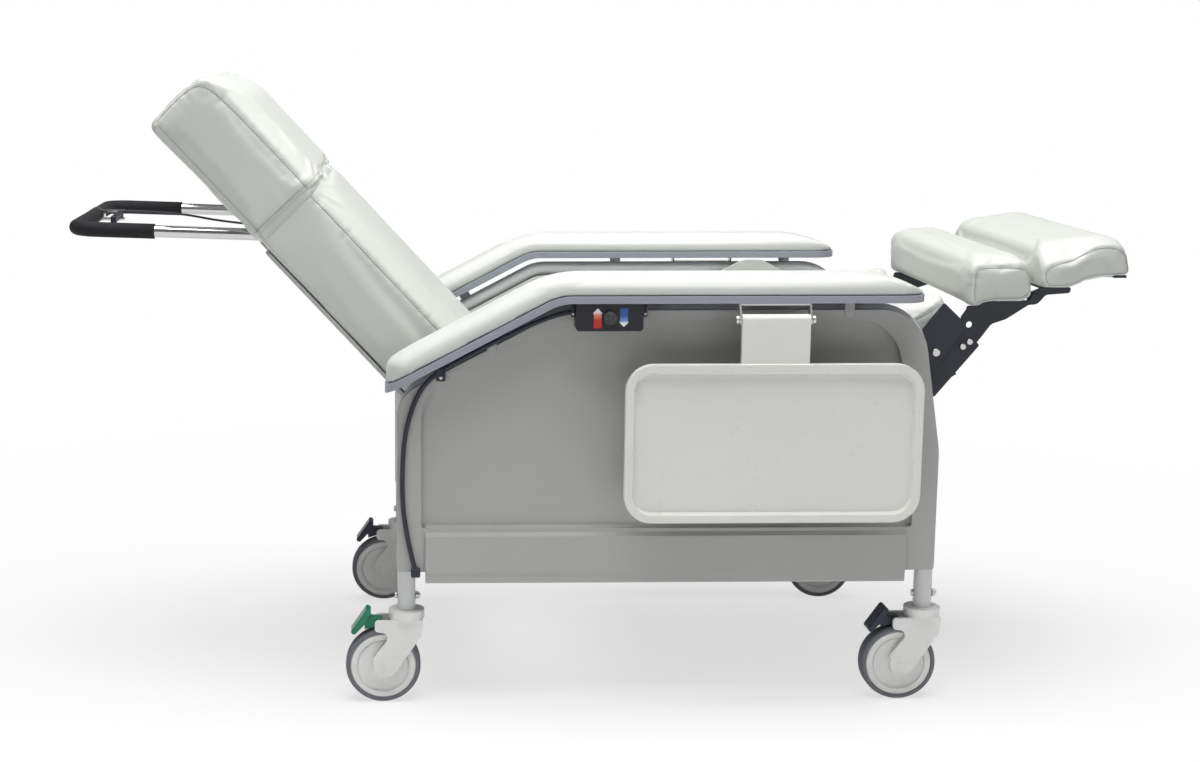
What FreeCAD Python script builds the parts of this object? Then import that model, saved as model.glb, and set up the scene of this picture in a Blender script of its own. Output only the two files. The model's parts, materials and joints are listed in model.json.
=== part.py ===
import FreeCAD, Part
import math
import operator
import os
from types import SimpleNamespace

import Sketcher
from FreeCAD import Placement, Rotation, Vector

# Medical recliner on casters, modelled in the reclined pose, legrest raised.
# X runs towards the feet, Y to the occupant's left, Z up, floor at z = 0, millimetres.
# The origin is on the floor, halfway along the reclined chair.

DIMENSIONS = (
    ("rear_leg_x", -331, "axis of the rear legs"),
    ("front_leg_x", 533, "axis of the front legs"),
    ("frame_half_width", 305, "side hoop centre from the middle"),
    ("tube_dia", 30, "hoop tube"),
    ("tube_wall", 2, "hoop tube wall"),
    ("leg_bottom_z", 158, "open lower end of the legs"),
    ("lean_start_z", 430, "where the front leg starts to lean back"),
    ("front_lean", 36, "how far the front leg leans back"),
    ("arm_rail_z", 655, "hoop centre under the armrest"),
    ("hoop_bend_x", -74, "where the arm rail turns down to the rear"),
    ("arm_slope", 27.8, "rear slope of rail and armrest, degrees"),
    ("lean_bend", 120, "bend radius of the leaning front leg"),
    ("rail_bend", 70, "bend radius at both ends of the arm rail"),
    ("rear_bend", 60, "bend radius into the rear leg"),
    ("side_rail_dia", 25, "lower side rail"),
    ("cross_tube_dia", 25, "front and rear cross tubes"),
    ("cross_tube_z", 235, "height of the cross tubes"),
    ("tilt_x", 59, "seat tilt axis"),
    ("tilt_z", 400, "seat tilt axis and side rail height"),
    ("tilt_stud_dia", 16, "journal of the tilt stud"),
    ("tilt_collar_dia", 26, "shoulder of the tilt stud"),
    ("run_gap", 0.1, "running clearance on a diameter"),
    ("seat_gap", 0.3, "clearance between seated pieces"),
    ("arm_gap", 9, "from arm rail to armrest base"),
    ("arm_base_thick", 12, "armrest base board"),
    ("arm_pad_thick", 31, "armrest pad at its crown"),
    ("arm_width", 100, "armrest across"),
    ("arm_out", 25, "armrest centre outside the hoop"),
    ("arm_front_x", 503, "front tip of the armrest"),
    ("arm_rear_x", -366, "rear tip of the armrest"),
    ("arm_bend_x", -85, "bend of the armrest underside"),
    ("arm_bend", 80, "bend radius of the armrest underside"),
    ("arm_tip_radius", 38, "armrest corner radius in plan"),
    ("arm_pad_inset", 2, "pad edge inside the base edge"),
    ("arm_pad_round", 22, "rounded upper edge of the pad"),
    ("boss_dia", 20, "standoff bosses under the armrest base"),
    ("panel_rim", 17.7, "side panel border depth"),
    ("panel_plate", 7.7, "side panel recessed plate depth"),
    ("panel_wall", 4, "moulded wall of the side panel"),
    ("skirt_proud", 6, "skirt outside the panel border"),
    ("skirt_bottom_z", 210, "lower lip of the skirt"),
    ("skirt_top_z", 290, "upper step of the skirt"),
    ("panel_bottom_z", 229, "lower edge of the panel border"),
    ("recess_bottom_z", 302, "lower edge of the panel recess"),
    ("panel_rear_x", -347, "rear edge of the panel"),
    ("panel_front_x", 541, "front edge of the panel"),
    ("border", 40, "width of the raised panel border"),
    ("liner_in", 33, "inner face of the padded side liner inside the hoop"),
    ("liner_thick", 7, "side liner board"),
    ("liner_top_z", 646, "upper edge of the side liner"),
    ("liner_hump_x", 340, "middle of the raised tongue of the liner"),
    ("liner_hump_z", 676, "top of the raised tongue"),
    ("tray_length", 478, "tray along the chair"),
    ("tray_height", 259, "tray from edge to edge"),
    ("tray_mid_x", 257, "tray centre"),
    ("tray_top_z", 584, "upper edge of the hanging tray"),
    ("tray_out", 95, "outer face of the hanging tray outside the hoop"),
    ("tray_depth", 14, "tray rim depth"),
    ("tray_floor", 5, "tray floor thickness"),
    ("tray_rim", 13, "tray rim width"),
    ("tray_corner", 45, "tray corner radius"),
    ("neck_width", 109, "tray neck"),
    ("neck_thick", 12, "tray neck thickness"),
    ("tray_pin_out", 80, "tray hinge axis outside the hoop"),
    ("tray_pin_z", 654, "tray hinge axis height"),
    ("tray_pin_dia", 8, "tray hinge pin"),
    ("tray_barrel_dia", 18, "hinge barrel of the tray"),
    ("ear_thick", 3, "steel of the tray bracket"),
    ("control_rear_x", -61, "rear end of the control box"),
    ("control_length", 108, "control box along the chair"),
    ("control_height", 44, "control box height"),
    ("control_out", 71, "outer face of the control box outside the hoop"),
    ("control_depth", 31, "control box depth"),
    ("knob_dia", 21, "control knob"),
    ("knob_length", 12, "control knob length"),
    ("knob_shaft_dia", 6, "control knob shaft"),
    ("control_cable_dia", 8, "control cable"),
    ("wheel_dia", 125, "caster tyre"),
    ("tyre_inner_dia", 110, "caster rim and tyre seat"),
    ("wheel_width", 32, "caster tyre width"),
    ("trail", 39, "wheel axle behind the swivel axis"),
    ("axle_dia", 10, "caster axle"),
    ("collar_dia", 60, "swivel head of the caster"),
    ("collar_bottom_z", 143, "underside of the swivel head"),
    ("swivel_pin_dia", 12, "swivel pin"),
    ("fork_gap", 1.5, "wheel to fork arm"),
    ("fork_arm", 7, "fork arm thickness"),
    ("pedal_pin_dia", 6, "brake pedal pin"),
    ("pedal_width", 34, "brake pedal across"),
    ("seat_slope", 31, "seat above horizontal, degrees"),
    ("seat_front_x", 570, "upper front edge of the seat side seam"),
    ("seat_front_z", 661, "upper front edge of the seat side seam"),
    ("seat_length", 690, "seat cushion length"),
    ("seat_half_width", 230, "seat cushion half width"),
    ("seat_thick", 95, "seat cushion at its side seam"),
    ("seat_crown", 18, "seat crown over the side seam"),
    ("seat_bar", 25, "depth and rib width of the seat pan"),
    ("pan_skin", 2, "sheet of the seat pan between its ribs"),
    ("plate_y", 246, "inner face of the seat side plates"),
    ("plate_thick", 4, "seat and legrest plates"),
    ("swing_plate_y", 240.5, "inner face of the legrest swing plates"),
    ("leg_arm_y", 235, "inner face of the legrest arms"),
    ("legrest_x", 553, "legrest pivot"),
    ("legrest_z", 579, "legrest pivot"),
    ("legrest_bolt_dia", 8, "legrest pivot bolt"),
    ("small_bolt_dia", 6, "bolts that fix the legrest arms"),
    ("foot_x", 716, "foot pad pivot"),
    ("foot_z", 667, "foot pad pivot"),
    ("foot_pin_dia", 8, "foot pad pivot pin"),
    ("pad_half_width", 266, "legrest pads"),
    ("pad_shoulder", 40, "from the ends of the legrest pads to their full height"),
    ("pad_swell", 6, "rise of the legrest pads over their ends"),
    ("pad_end_round", 6, "rounded ends of the legrest pads"),
    ("calf_rear_x", 599, "rear face of the calf pad"),
    ("calf_front_x", 707, "front face of the calf pad"),
    ("calf_bottom_z", 665, "underside of the calf pad"),
    ("calf_top_z", 741, "top of the calf pad"),
    ("back_angle", 47, "back above horizontal, degrees"),
    ("back_hinge_x", -71, "back hinge"),
    ("back_hinge_z", 300, "back hinge"),
    ("back_pin_dia", 14, "back hinge pin"),
    ("back_rear", -47, "rear plane of the back cushion from the hinge"),
    ("back_seam", 70, "front seam of the back cushion from the hinge"),
    ("back_crown", 30, "back crown over the front seam"),
    ("back_low", 34, "lower end of the back cushion above the hinge"),
    ("hood_low", 686, "lower edge of the head cover above the hinge"),
    ("back_top", 946, "upper end of the back above the hinge"),
    ("back_half_width", 262, "back cushion half width"),
    ("hood_proud", 4, "head cover outside the back cushion"),
    ("board_thick", 6.7, "rear board of the back"),
    ("board_top", 681, "upper end of the rear board above the hinge"),
    ("handle_dia", 20, "push handle tube"),
    ("handle_y", 218, "handle arms from the middle"),
    ("handle_seat", 1, "handle tube off the rear plane of the back"),
    ("handle_knee", 682, "where the tube leaves the back, above the hinge"),
    ("handle_rear_x", -880, "rear cross bar of the handle"),
    ("handle_z", 785, "height of the cross bar"),
    ("handle_bend", 38, "bend radius of the handle corners"),
    ("knee_bend", 45, "bend radius where the tube enters the back"),
    ("grip_dia", 25, "foam grip"),
    ("grip_front_x", -746, "front ends of the grip"),
    ("ear_y", 226, "inner face of the back hinge ears"),
    ("lever_y", 40, "release lever pivot"),
    ("lever_x", -838, "release lever pivot"),
    ("lever_pin_dia", 6, "release lever pin"),
    ("lever_blade", 105, "release lever blade length"),
    ("release_cable_dia", 4, "release cable"),
    ("gas_x", -311, "rear pivot of the gas spring"),
    ("gas_z", 240, "rear pivot of the gas spring"),
    ("gas_pin_dia", 8, "gas spring pins"),
    ("gas_eye_x", -5, "seat pin in the front eye of the gas spring"),
    ("gas_eye_z", 215, "seat pin in the front eye of the gas spring"),
    ("gas_eye_drop", 2.9, "how far the open eye hangs below its pin at rest"),
    ("gas_tube_dia", 28, "gas spring cylinder"),
    ("gas_tube_length", 150, "gas spring cylinder length"),
    ("gas_rod_dia", 10, "gas spring rod"),
    ("gas_eye_hole", 17, "open eye of the gas spring"),
)

doc = FreeCAD.newDocument("medical_recliner")
sheet = doc.addObject("Spreadsheet::Sheet", "dims")
for row, (alias, value, note) in enumerate(DIMENSIONS, 1):
    sheet.set(f"A{row}", note)
    sheet.set(f"B{row}", str(value))
    sheet.setAlias(f"B{row}", alias)
doc.recompute()

SIGNS = {"+": operator.add, "-": operator.sub, "*": operator.mul, "/": operator.truediv}


class Size:
    """A length with its number and the sheet expression that gives it."""

    def __init__(self, value, text):
        self.value = value
        self.text = text

    def __add__(self, other):
        return combine(self, "+", other)

    def __radd__(self, other):
        return combine(other, "+", self)

    def __sub__(self, other):
        return combine(self, "-", other)

    def __rsub__(self, other):
        return combine(other, "-", self)

    def __mul__(self, other):
        return combine(self, "*", other)

    def __rmul__(self, other):
        return combine(other, "*", self)

    def __truediv__(self, other):
        return combine(self, "/", other)

    def __neg__(self):
        return combine(0, "-", self)


def as_size(value):
    if isinstance(value, Size):
        return value
    return Size(float(value), repr(float(value)))


def combine(left, sign, right):
    left = as_size(left)
    right = as_size(right)
    return Size(SIGNS[sign](left.value, right.value), f"({left.text} {sign} {right.text})")


NUMBERS = {alias: float(sheet.get(alias)) for alias, value, note in DIMENSIONS}
num = SimpleNamespace(**NUMBERS)
dim = SimpleNamespace(**{alias: Size(NUMBERS[alias], "dims." + alias) for alias in NUMBERS})

# Side pieces keep their distance from the hoop
ARM_CENTRE_Y = dim.frame_half_width + dim.arm_out
LINER_Y = dim.frame_half_width - dim.liner_in
TRAY_FACE_Y = dim.frame_half_width + dim.tray_out
TRAY_PIN_Y = dim.frame_half_width + dim.tray_pin_out
CONTROL_FACE_Y = dim.frame_half_width + dim.control_out
HANDLE_PLANE = dim.back_rear + dim.handle_dia / 2 + dim.handle_seat

SUB_PARTS = []


def sub_part(label, thing):
    """Gives an object the name of its node and lists it for writing."""
    thing.Label = label
    SUB_PARTS.append(thing)
    return thing


def bind(thing, **links):
    for prop, size in links.items():
        thing.setExpression(prop, as_size(size).text)


def put_at(thing, x=0, y=0, z=0):
    for axis, size in zip("xyz", (x, y, z)):
        thing.setExpression("Placement.Base." + axis, as_size(size).text)


AXIS_TURN = {
    "x": Rotation(Vector(0, 1, 0), 90),
    "y": Rotation(Vector(1, 0, 0), -90),
    "z": Rotation(),
}


def cylinder(name, dia, length, x=0, y=0, z=0, axis="z"):
    thing = doc.addObject("Part::Cylinder", name)
    thing.Placement = Placement(Vector(), AXIS_TURN[axis])
    bind(thing, Radius=as_size(dia) / 2, Height=length)
    put_at(thing, x, y, z)
    return thing


def box(name, length, width, height, x=0, y=0, z=0):
    thing = doc.addObject("Part::Box", name)
    bind(thing, Length=length, Width=width, Height=height)
    put_at(thing, x, y, z)
    return thing


def fuse(name, *things):
    joined = doc.addObject("Part::MultiFuse", name)
    joined.Shapes = list(things)
    joined.Refine = True
    return joined


def cut(name, base, tool):
    result = doc.addObject("Part::Cut", name)
    result.Base = base
    result.Tool = tool
    return result


def group(name, *things):
    """Separate like solids kept together under one name."""
    gathered = doc.addObject("Part::Compound", name)
    gathered.Links = list(things)
    return gathered


def mirrored(name, source):
    """The left-hand copy of a right-hand piece."""
    copy = doc.addObject("Part::Mirroring", name)
    copy.Source = source
    copy.Normal = Vector(0, 1, 0)
    return copy


def feature(name, shape, placement=None):
    thing = doc.addObject("Part::Feature", name)
    thing.Shape = shape
    if placement:
        thing.Placement = placement
    return thing


def sketch_in(body, role, name):
    sketch = body.newObject("Sketcher::SketchObject", name)
    plane = next(item for item in body.Origin.OriginFeatures if item.Role == role)
    sketch.AttachmentSupport = [(plane, "")]
    sketch.MapMode = "FlatFace"
    return sketch


def pin_point(sketch, geometry, point, u, v):
    """Holds one sketch point at sheet values from the sketch origin."""
    for kind, size in (("DistanceX", as_size(u)), ("DistanceY", as_size(v))):
        index = sketch.addConstraint(
            Sketcher.Constraint(kind, -1, 1, geometry, point, size.value)
        )
        sketch.setExpression(f"Constraints[{index}]", size.text)


def draw_loop(sketch, corners):
    """A closed straight-sided outline, every corner held by sheet values."""
    spots = [Vector(as_size(u).value, as_size(v).value, 0) for u, v in corners]
    first = sketch.GeometryCount
    count = len(spots)
    for i in range(count):
        sketch.addGeometry(Part.LineSegment(spots[i], spots[(i + 1) % count]), False)
    for i in range(count):
        after = first + (i + 1) % count
        sketch.addConstraint(Sketcher.Constraint("Coincident", first + i, 2, after, 1))
    for i, (u, v) in enumerate(corners):
        pin_point(sketch, first + i, 1, u, v)


def draw_circle(sketch, u, v, dia):
    centre = Vector(as_size(u).value, as_size(v).value, 0)
    radius = as_size(dia) / 2
    index = sketch.addGeometry(Part.Circle(centre, Vector(0, 0, 1), radius.value), False)
    pin_point(sketch, index, 3, u, v)
    held = sketch.addConstraint(Sketcher.Constraint("Radius", index, radius.value))
    sketch.setExpression(f"Constraints[{held}]", radius.text)


PLANE_SPOT = {
    "XY_Plane": lambda point: (point.x, point.y),
    "XZ_Plane": lambda point: (point.x, point.z),
    "YZ_Plane": lambda point: (point.y, point.z),
}


def corner_edges(shape, plane, spots):
    """Names of the edges that stand on the given corners of an outline."""
    names = []
    for i, edge in enumerate(shape.Edges, 1):
        if len(edge.Vertexes) < 2:
            continue
        ends = [PLANE_SPOT[plane](vertex.Point) for vertex in edge.Vertexes]
        for u, v in spots:
            if all(math.hypot(a - u, b - v) < 1e-4 for a, b in ends):
                names.append(f"Edge{i}")
    return names


def prism(name, plane, corners, depth, x=0, y=0, z=0, holes=()):
    """A padded outline: corners are (u, v, radius), holes are (u, v, diameter)."""
    body = doc.addObject("PartDesign::Body", name)
    sketch = sketch_in(body, plane, name + "_outline")
    draw_loop(sketch, [(u, v) for u, v, radius in corners])
    for u, v, dia in holes:
        draw_circle(sketch, u, v, dia)
    pad = body.newObject("PartDesign::Pad", name + "_pad")
    pad.Profile = sketch
    bind(pad, Length=depth)
    doc.recompute()
    last = pad
    for radius in sorted({as_size(r).value for u, v, r in corners if as_size(r).value}):
        spots = [
            (as_size(u).value, as_size(v).value)
            for u, v, r in corners
            if as_size(r).value == radius
        ]
        rounded = body.newObject("PartDesign::Fillet", f"{name}_round_{radius:g}".replace(".", "_"))
        rounded.Base = (last, corner_edges(last.Shape, plane, spots))
        rounded.Radius = radius
        sized = next(r for u, v, r in corners if as_size(r).value == radius)
        bind(rounded, Radius=sized)
        doc.recompute()
        last = rounded
    put_at(body, x, y, z)
    return body


def revolved(name, outline):
    """A full turn about Y of an outline given as (place along Y, radius)."""
    body = doc.addObject("PartDesign::Body", name)
    sketch = sketch_in(body, "YZ_Plane", name + "_section")
    draw_loop(sketch, outline)
    turn = body.newObject("PartDesign::Revolution", name + "_turn")
    turn.Profile = sketch
    turn.ReferenceAxis = (sketch, ["H_Axis"])
    turn.Angle = 360
    doc.recompute()
    return body


def rounded_edges(points, closed=False):
    """Straight runs joined by tangent arcs through points given as (Vector, radius)."""
    count = len(points)
    trimmed = []
    for i, (spot, radius) in enumerate(points):
        inner = closed or 0 < i < count - 1
        if not inner or not radius:
            trimmed.append((spot, None, spot))
            continue
        back = (points[i - 1][0] - spot).normalize()
        ahead = (points[(i + 1) % count][0] - spot).normalize()
        half = back.getAngle(ahead) / 2
        middle = (back + ahead).normalize()
        start = spot + back * (radius / math.tan(half))
        end = spot + ahead * (radius / math.tan(half))
        crest = spot + middle * (radius / math.sin(half) - radius)
        trimmed.append((start, crest, end))
    edges = []
    for i, (start, crest, end) in enumerate(trimmed):
        if crest:
            edges.append(Part.Arc(start, crest, end).toShape())
        if closed or i < count - 1:
            following = trimmed[(i + 1) % count][0]
            if end.distanceToPoint(following) > 1e-6:
                edges.append(Part.LineSegment(end, following).toShape())
    return edges


def pipe(points, dia):
    """A round bar along straight runs and tangent arcs."""
    path = Part.Wire(Part.__sortEdges__(rounded_edges(points)))
    start = points[0][0]
    heading = points[1][0] - start
    section = Part.Wire([Part.Circle(start, heading, dia / 2).toShape()])
    return path.makePipeShell([section], True, False)


def upright_face(corners, y):
    """A face in a plane of constant y, from corners given as (x, z, radius)."""
    points = [(Vector(x, y, z), radius) for x, z, radius in corners]
    return Part.Face(Part.Wire(rounded_edges(points, closed=True)))


def side_slab(corners, y_inner, y_outer):
    return upright_face(corners, -y_inner).extrude(Vector(0, y_inner - y_outer, 0))


def drawn_in_loop(low, high, half_width, radius, pull, height):
    """A rounded rectangle whose sides are arcs drawn in by pull, at one height."""
    corners = ((high, half_width), (low, half_width), (low, -half_width), (high, -half_width))
    middle = (low + high) / 2
    edges = []
    for i, (u, v) in enumerate(corners):
        inward_u = math.copysign(1, middle - u)
        inward_v = math.copysign(1, -v)
        centre = Vector(u + inward_u * radius, v + inward_v * radius, height)
        beside = Vector(u, v + inward_v * radius, height)
        along = Vector(u + inward_u * radius, v, height)
        crest = centre + (Vector(u, v, height) - centre).normalize() * radius
        start, end = (beside, along) if i % 2 == 0 else (along, beside)
        edges.append(Part.Arc(start, crest, end).toShape())
        next_u, next_v = corners[(i + 1) % 4]
        if i % 2 == 0:
            far = Vector(next_u - inward_u * radius, next_v, height)
            waist = Vector(middle, v + inward_v * pull, height)
        else:
            far = Vector(next_u, next_v - inward_v * radius, height)
            waist = Vector(u + inward_u * pull, 0, height)
        edges.append(Part.Arc(end, waist, far).toShape())
    return Part.Wire(edges)


def cushion(low, high, half_width, bottom, seam, crown, radius, pull, low_draw=1, high_draw=1):
    """A crowned pad: height runs from bottom past the seam to the crown.

    The draws tell how much of the crown's rounding each end takes; 0 leaves that end square.
    """
    reach = min(high - low, 2 * half_width) / 2
    steps = (
        (bottom, 5),
        (bottom + 8, 0),
        (seam - 8, 0),
        (seam, 1.5),
        (seam + 0.22 * crown, 0.02 * reach),
        (seam + 0.45 * crown, 0.06 * reach),
        (seam + 0.70 * crown, 0.15 * reach),
        (seam + 0.90 * crown, 0.33 * reach),
        (seam + crown, 0.58 * reach),
    )
    loops = []
    for height, inset in steps:
        low_end = low + inset * low_draw
        high_end = high - inset * high_draw
        loops.append(drawn_in_loop(low_end, high_end, half_width - inset, radius, pull, height))
    return Part.makeLoft(loops, True, True)


# Welded side frame: hoop tube, side rail and tilt stud

ARM_SLOPE = math.radians(num.arm_slope)
HOOP_DROP = (num.hoop_bend_x - num.rear_leg_x) * math.tan(ARM_SLOPE)
FRONT_TOP_X = num.front_leg_x - num.front_lean


def side_frame():
    y = -num.frame_half_width
    points = [
        (Vector(num.front_leg_x, y, num.leg_bottom_z), 0),
        (Vector(num.front_leg_x, y, num.lean_start_z), num.lean_bend),
        (Vector(FRONT_TOP_X, y, num.arm_rail_z), num.rail_bend),
        (Vector(num.hoop_bend_x, y, num.arm_rail_z), num.rail_bend),
        (Vector(num.rear_leg_x, y, num.arm_rail_z - HOOP_DROP), num.rear_bend),
        (Vector(num.rear_leg_x, y, num.leg_bottom_z), 0),
    ]
    rail = Part.makeCylinder(
        num.side_rail_dia / 2,
        num.front_leg_x - num.rear_leg_x,
        Vector(num.rear_leg_x, y, num.tilt_z),
        Vector(1, 0, 0),
    )
    shoulder_y = num.plate_y + num.plate_thick + num.seat_gap
    shoulder = Part.makeCylinder(
        num.tilt_collar_dia / 2,
        num.frame_half_width - shoulder_y,
        Vector(num.tilt_x, y, num.tilt_z),
        Vector(0, 1, 0),
    )
    journal_end = num.plate_y - num.plate_thick
    journal = Part.makeCylinder(
        num.tilt_stud_dia / 2,
        num.frame_half_width - journal_end,
        Vector(num.tilt_x, y, num.tilt_z),
        Vector(0, 1, 0),
    )
    welded = pipe(points, num.tube_dia).multiFuse([rail, shoulder, journal])
    bore = pipe(points, num.tube_dia - 2 * num.tube_wall)
    for x in (num.rear_leg_x, num.front_leg_x):
        bolt_hole = Part.makeCylinder(
            BOLT_HOLE / 2,
            2 * num.tube_dia,
            Vector(x - num.tube_dia, y, BOLT_Z),
            Vector(1, 0, 0),
        )
        bore = bore.fuse(bolt_hole)
    return welded.cut(bore).removeSplitter()


BOLT_Z = 181
BOLT_DIA = 6
BOLT_HOLE = BOLT_DIA + num.run_gap
right_frame = sub_part("right_side_frame", feature("right_side_frame", side_frame()))
sub_part("left_side_frame", mirrored("left_side_frame", right_frame))

# Cross tubes between the legs, the rear one with the clevis of the gas spring

CROSS_HALF = dim.frame_half_width - dim.tube_dia / 2


def cross_tube(name, x):
    span = 2 * CROSS_HALF
    inner_dia = dim.cross_tube_dia - 2 * dim.tube_wall
    outer = cylinder(name + "_outer", dim.cross_tube_dia, span, x, -CROSS_HALF, dim.cross_tube_z, "y")
    inner = cylinder(name + "_bore", inner_dia, span, x, -CROSS_HALF, dim.cross_tube_z, "y")
    return cut(name, outer, inner)


sub_part("front_cross_tube", cross_tube("front_cross_tube", dim.front_leg_x))

CLEVIS_THICK = 4
CLEVIS_INNER = 9
CLEVIS_ROUND = 9
clevis_ears = []
for ear_side, ear_y in (("right", -CLEVIS_INNER), ("left", CLEVIS_INNER + CLEVIS_THICK)):
    clevis_ears.append(
        prism(
            f"gas_clevis_{ear_side}",
            "XZ_Plane",
            (
                (dim.rear_leg_x + 8, dim.cross_tube_z - CLEVIS_ROUND, 0),
                (dim.gas_x + CLEVIS_ROUND, dim.gas_z - CLEVIS_ROUND, CLEVIS_ROUND - 1),
                (dim.gas_x + CLEVIS_ROUND, dim.gas_z + CLEVIS_ROUND, CLEVIS_ROUND - 1),
                (dim.rear_leg_x + 8, dim.cross_tube_z + CLEVIS_ROUND, 0),
            ),
            CLEVIS_THICK,
            y=ear_y,
        )
    )
clevis_pin = cylinder(
    "gas_clevis_pin",
    dim.gas_pin_dia,
    2 * (CLEVIS_INNER + CLEVIS_THICK),
    dim.gas_x,
    -(CLEVIS_INNER + CLEVIS_THICK),
    dim.gas_z,
    "y",
)
rear_tube = fuse(
    "rear_cross_tube", cross_tube("rear_cross_pipe", dim.rear_leg_x), *clevis_ears, clevis_pin
)
sub_part("rear_cross_tube", rear_tube)

# Caster stems in the leg ends, and their cross bolts

LEGS = {
    "rear_right": (dim.rear_leg_x, -dim.frame_half_width),
    "rear_left": (dim.rear_leg_x, dim.frame_half_width),
    "front_right": (dim.front_leg_x, -dim.frame_half_width),
    "front_left": (dim.front_leg_x, dim.frame_half_width),
}
STEM_LENGTH = 47
STEM_PIN_LENGTH = 26
BOLT_HEAD_DIA = 11
BOLT_HEAD = 4
WASHER_DIA = 14
WASHER = 2
BOLT_SEAT = dim.tube_dia / 2 + dim.seat_gap
stems = []
bolts = []
for leg, (leg_x, leg_y) in LEGS.items():
    stem_dia = dim.tube_dia - 2 * dim.tube_wall - dim.run_gap
    plug = cylinder(f"stem_plug_{leg}", stem_dia, STEM_LENGTH, leg_x, leg_y, dim.leg_bottom_z)
    pin_z = dim.leg_bottom_z - STEM_PIN_LENGTH
    pin = cylinder(f"stem_pin_{leg}", dim.swivel_pin_dia, STEM_PIN_LENGTH + 2, leg_x, leg_y, pin_z)
    head_x = leg_x - BOLT_SEAT - BOLT_HEAD
    washer_x = leg_x + BOLT_SEAT
    nut_x = washer_x + WASHER
    bolt_length = nut_x + BOLT_HEAD + 2 - head_x
    bore = cylinder(f"stem_bore_{leg}", BOLT_HOLE, bolt_length, head_x, leg_y, BOLT_Z, "x")
    stems.append(cut(f"stem_{leg}", fuse(f"stem_solid_{leg}", plug, pin), bore))
    shank = cylinder(f"bolt_shank_{leg}", BOLT_DIA, bolt_length, head_x, leg_y, BOLT_Z, "x")
    head = cylinder(f"bolt_head_{leg}", BOLT_HEAD_DIA, BOLT_HEAD, head_x, leg_y, BOLT_Z, "x")
    washer = cylinder(f"bolt_washer_{leg}", WASHER_DIA, WASHER, washer_x, leg_y, BOLT_Z, "x")
    nut = cylinder(f"bolt_nut_{leg}", BOLT_HEAD_DIA, BOLT_HEAD, nut_x, leg_y, BOLT_Z, "x")
    bolts.append(fuse(f"bolt_{leg}", shank, head, washer, nut))
sub_part("caster_stems", group("caster_stems", *stems))
sub_part("caster_bolts", group("caster_bolts", *bolts))

# Casters: fork with swivel head and axle, rim, tyre and brake pedal, about the leg axis

FORK_HALF = dim.wheel_width / 2 + dim.fork_gap
CROWN_BOTTOM = dim.wheel_dia + 3
AXLE_Z = dim.wheel_dia / 2
HUB_ROUND = 16
PEDAL_PIN_X = -46
PEDAL_PIN_Z = 138

fork_arms = []
for arm_side, arm_y in (("near", -FORK_HALF), ("far", FORK_HALF + dim.fork_arm)):
    fork_arms.append(
        prism(
            f"fork_arm_{arm_side}",
            "XZ_Plane",
            (
                (-dim.trail - HUB_ROUND, AXLE_Z - HUB_ROUND, HUB_ROUND - 1),
                (-dim.trail + HUB_ROUND, AXLE_Z - HUB_ROUND, HUB_ROUND - 1),
                (24, CROWN_BOTTOM - 12, 8),
                (27, dim.collar_bottom_z, 0),
                (PEDAL_PIN_X - 7, dim.collar_bottom_z, 6),
                (PEDAL_PIN_X - 7, CROWN_BOTTOM - 4, 6),
                (-24, CROWN_BOTTOM - 8, 10),
                (-dim.trail - HUB_ROUND, AXLE_Z + HUB_ROUND, HUB_ROUND - 1),
            ),
            dim.fork_arm,
            y=arm_y,
        )
    )
CROWN_REAR = -26
crown = box(
    "fork_crown",
    27 - CROWN_REAR,
    2 * FORK_HALF + 2,
    dim.collar_bottom_z - CROWN_BOTTOM,
    CROWN_REAR,
    -FORK_HALF - 1,
    CROWN_BOTTOM,
)
collar_height = dim.leg_bottom_z - dim.seat_gap - dim.collar_bottom_z
collar = cylinder("fork_collar", dim.collar_dia, collar_height, 0, 0, dim.collar_bottom_z)
axle_length = 2 * (FORK_HALF + dim.fork_arm) + 3
axle = cylinder("fork_axle", dim.axle_dia, axle_length, -dim.trail, -axle_length / 2, AXLE_Z, "y")
pedal_pin_length = 2 * FORK_HALF + 2
pedal_pin = cylinder(
    "fork_pedal_pin",
    dim.pedal_pin_dia,
    pedal_pin_length,
    PEDAL_PIN_X,
    -pedal_pin_length / 2,
    PEDAL_PIN_Z,
    "y",
)
swivel_bore = cylinder(
    "fork_swivel_bore", dim.swivel_pin_dia + dim.run_gap, 2 * STEM_PIN_LENGTH, 0, 0, CROWN_BOTTOM + 3
)
fork = cut("caster_fork", fuse("fork_solid", collar, crown, *fork_arms, axle, pedal_pin), swivel_bore)

RIM_RADIUS = dim.tyre_inner_dia / 2
RIM_HALF = dim.wheel_width / 2 - 1
BORE_RADIUS = (dim.axle_dia + dim.run_gap) / 2
GROOVE_RADIUS = RIM_RADIUS - 12.5
rim_side = (
    (RIM_HALF + 1, BORE_RADIUS),
    (RIM_HALF + 1, 15),
    (RIM_HALF - 1.5, 18),
    (RIM_HALF - 2.5, GROOVE_RADIUS - 2),
    (RIM_HALF - 1, GROOVE_RADIUS),
    (RIM_HALF - 2.5, GROOVE_RADIUS),
    (RIM_HALF - 2.5, GROOVE_RADIUS + 2),
    (RIM_HALF - 0.5, GROOVE_RADIUS + 2),
    (RIM_HALF, RIM_RADIUS - 2),
    (RIM_HALF - 2, RIM_RADIUS),
)
rim = revolved("caster_rim", rim_side + tuple((-y, radius) for y, radius in reversed(rim_side)))
TYRE_HALF = dim.wheel_width / 2
TREAD = dim.wheel_dia / 2
tyre_side = (
    (TYRE_HALF - 0.5, RIM_RADIUS + dim.run_gap / 2),
    (TYRE_HALF, TREAD - 3.5),
    (TYRE_HALF - 2, TREAD - 1.2),
    (TYRE_HALF - 7, TREAD),
)
tyre = revolved("caster_tyre", tyre_side + tuple((-y, radius) for y, radius in reversed(tyre_side)))

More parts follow.
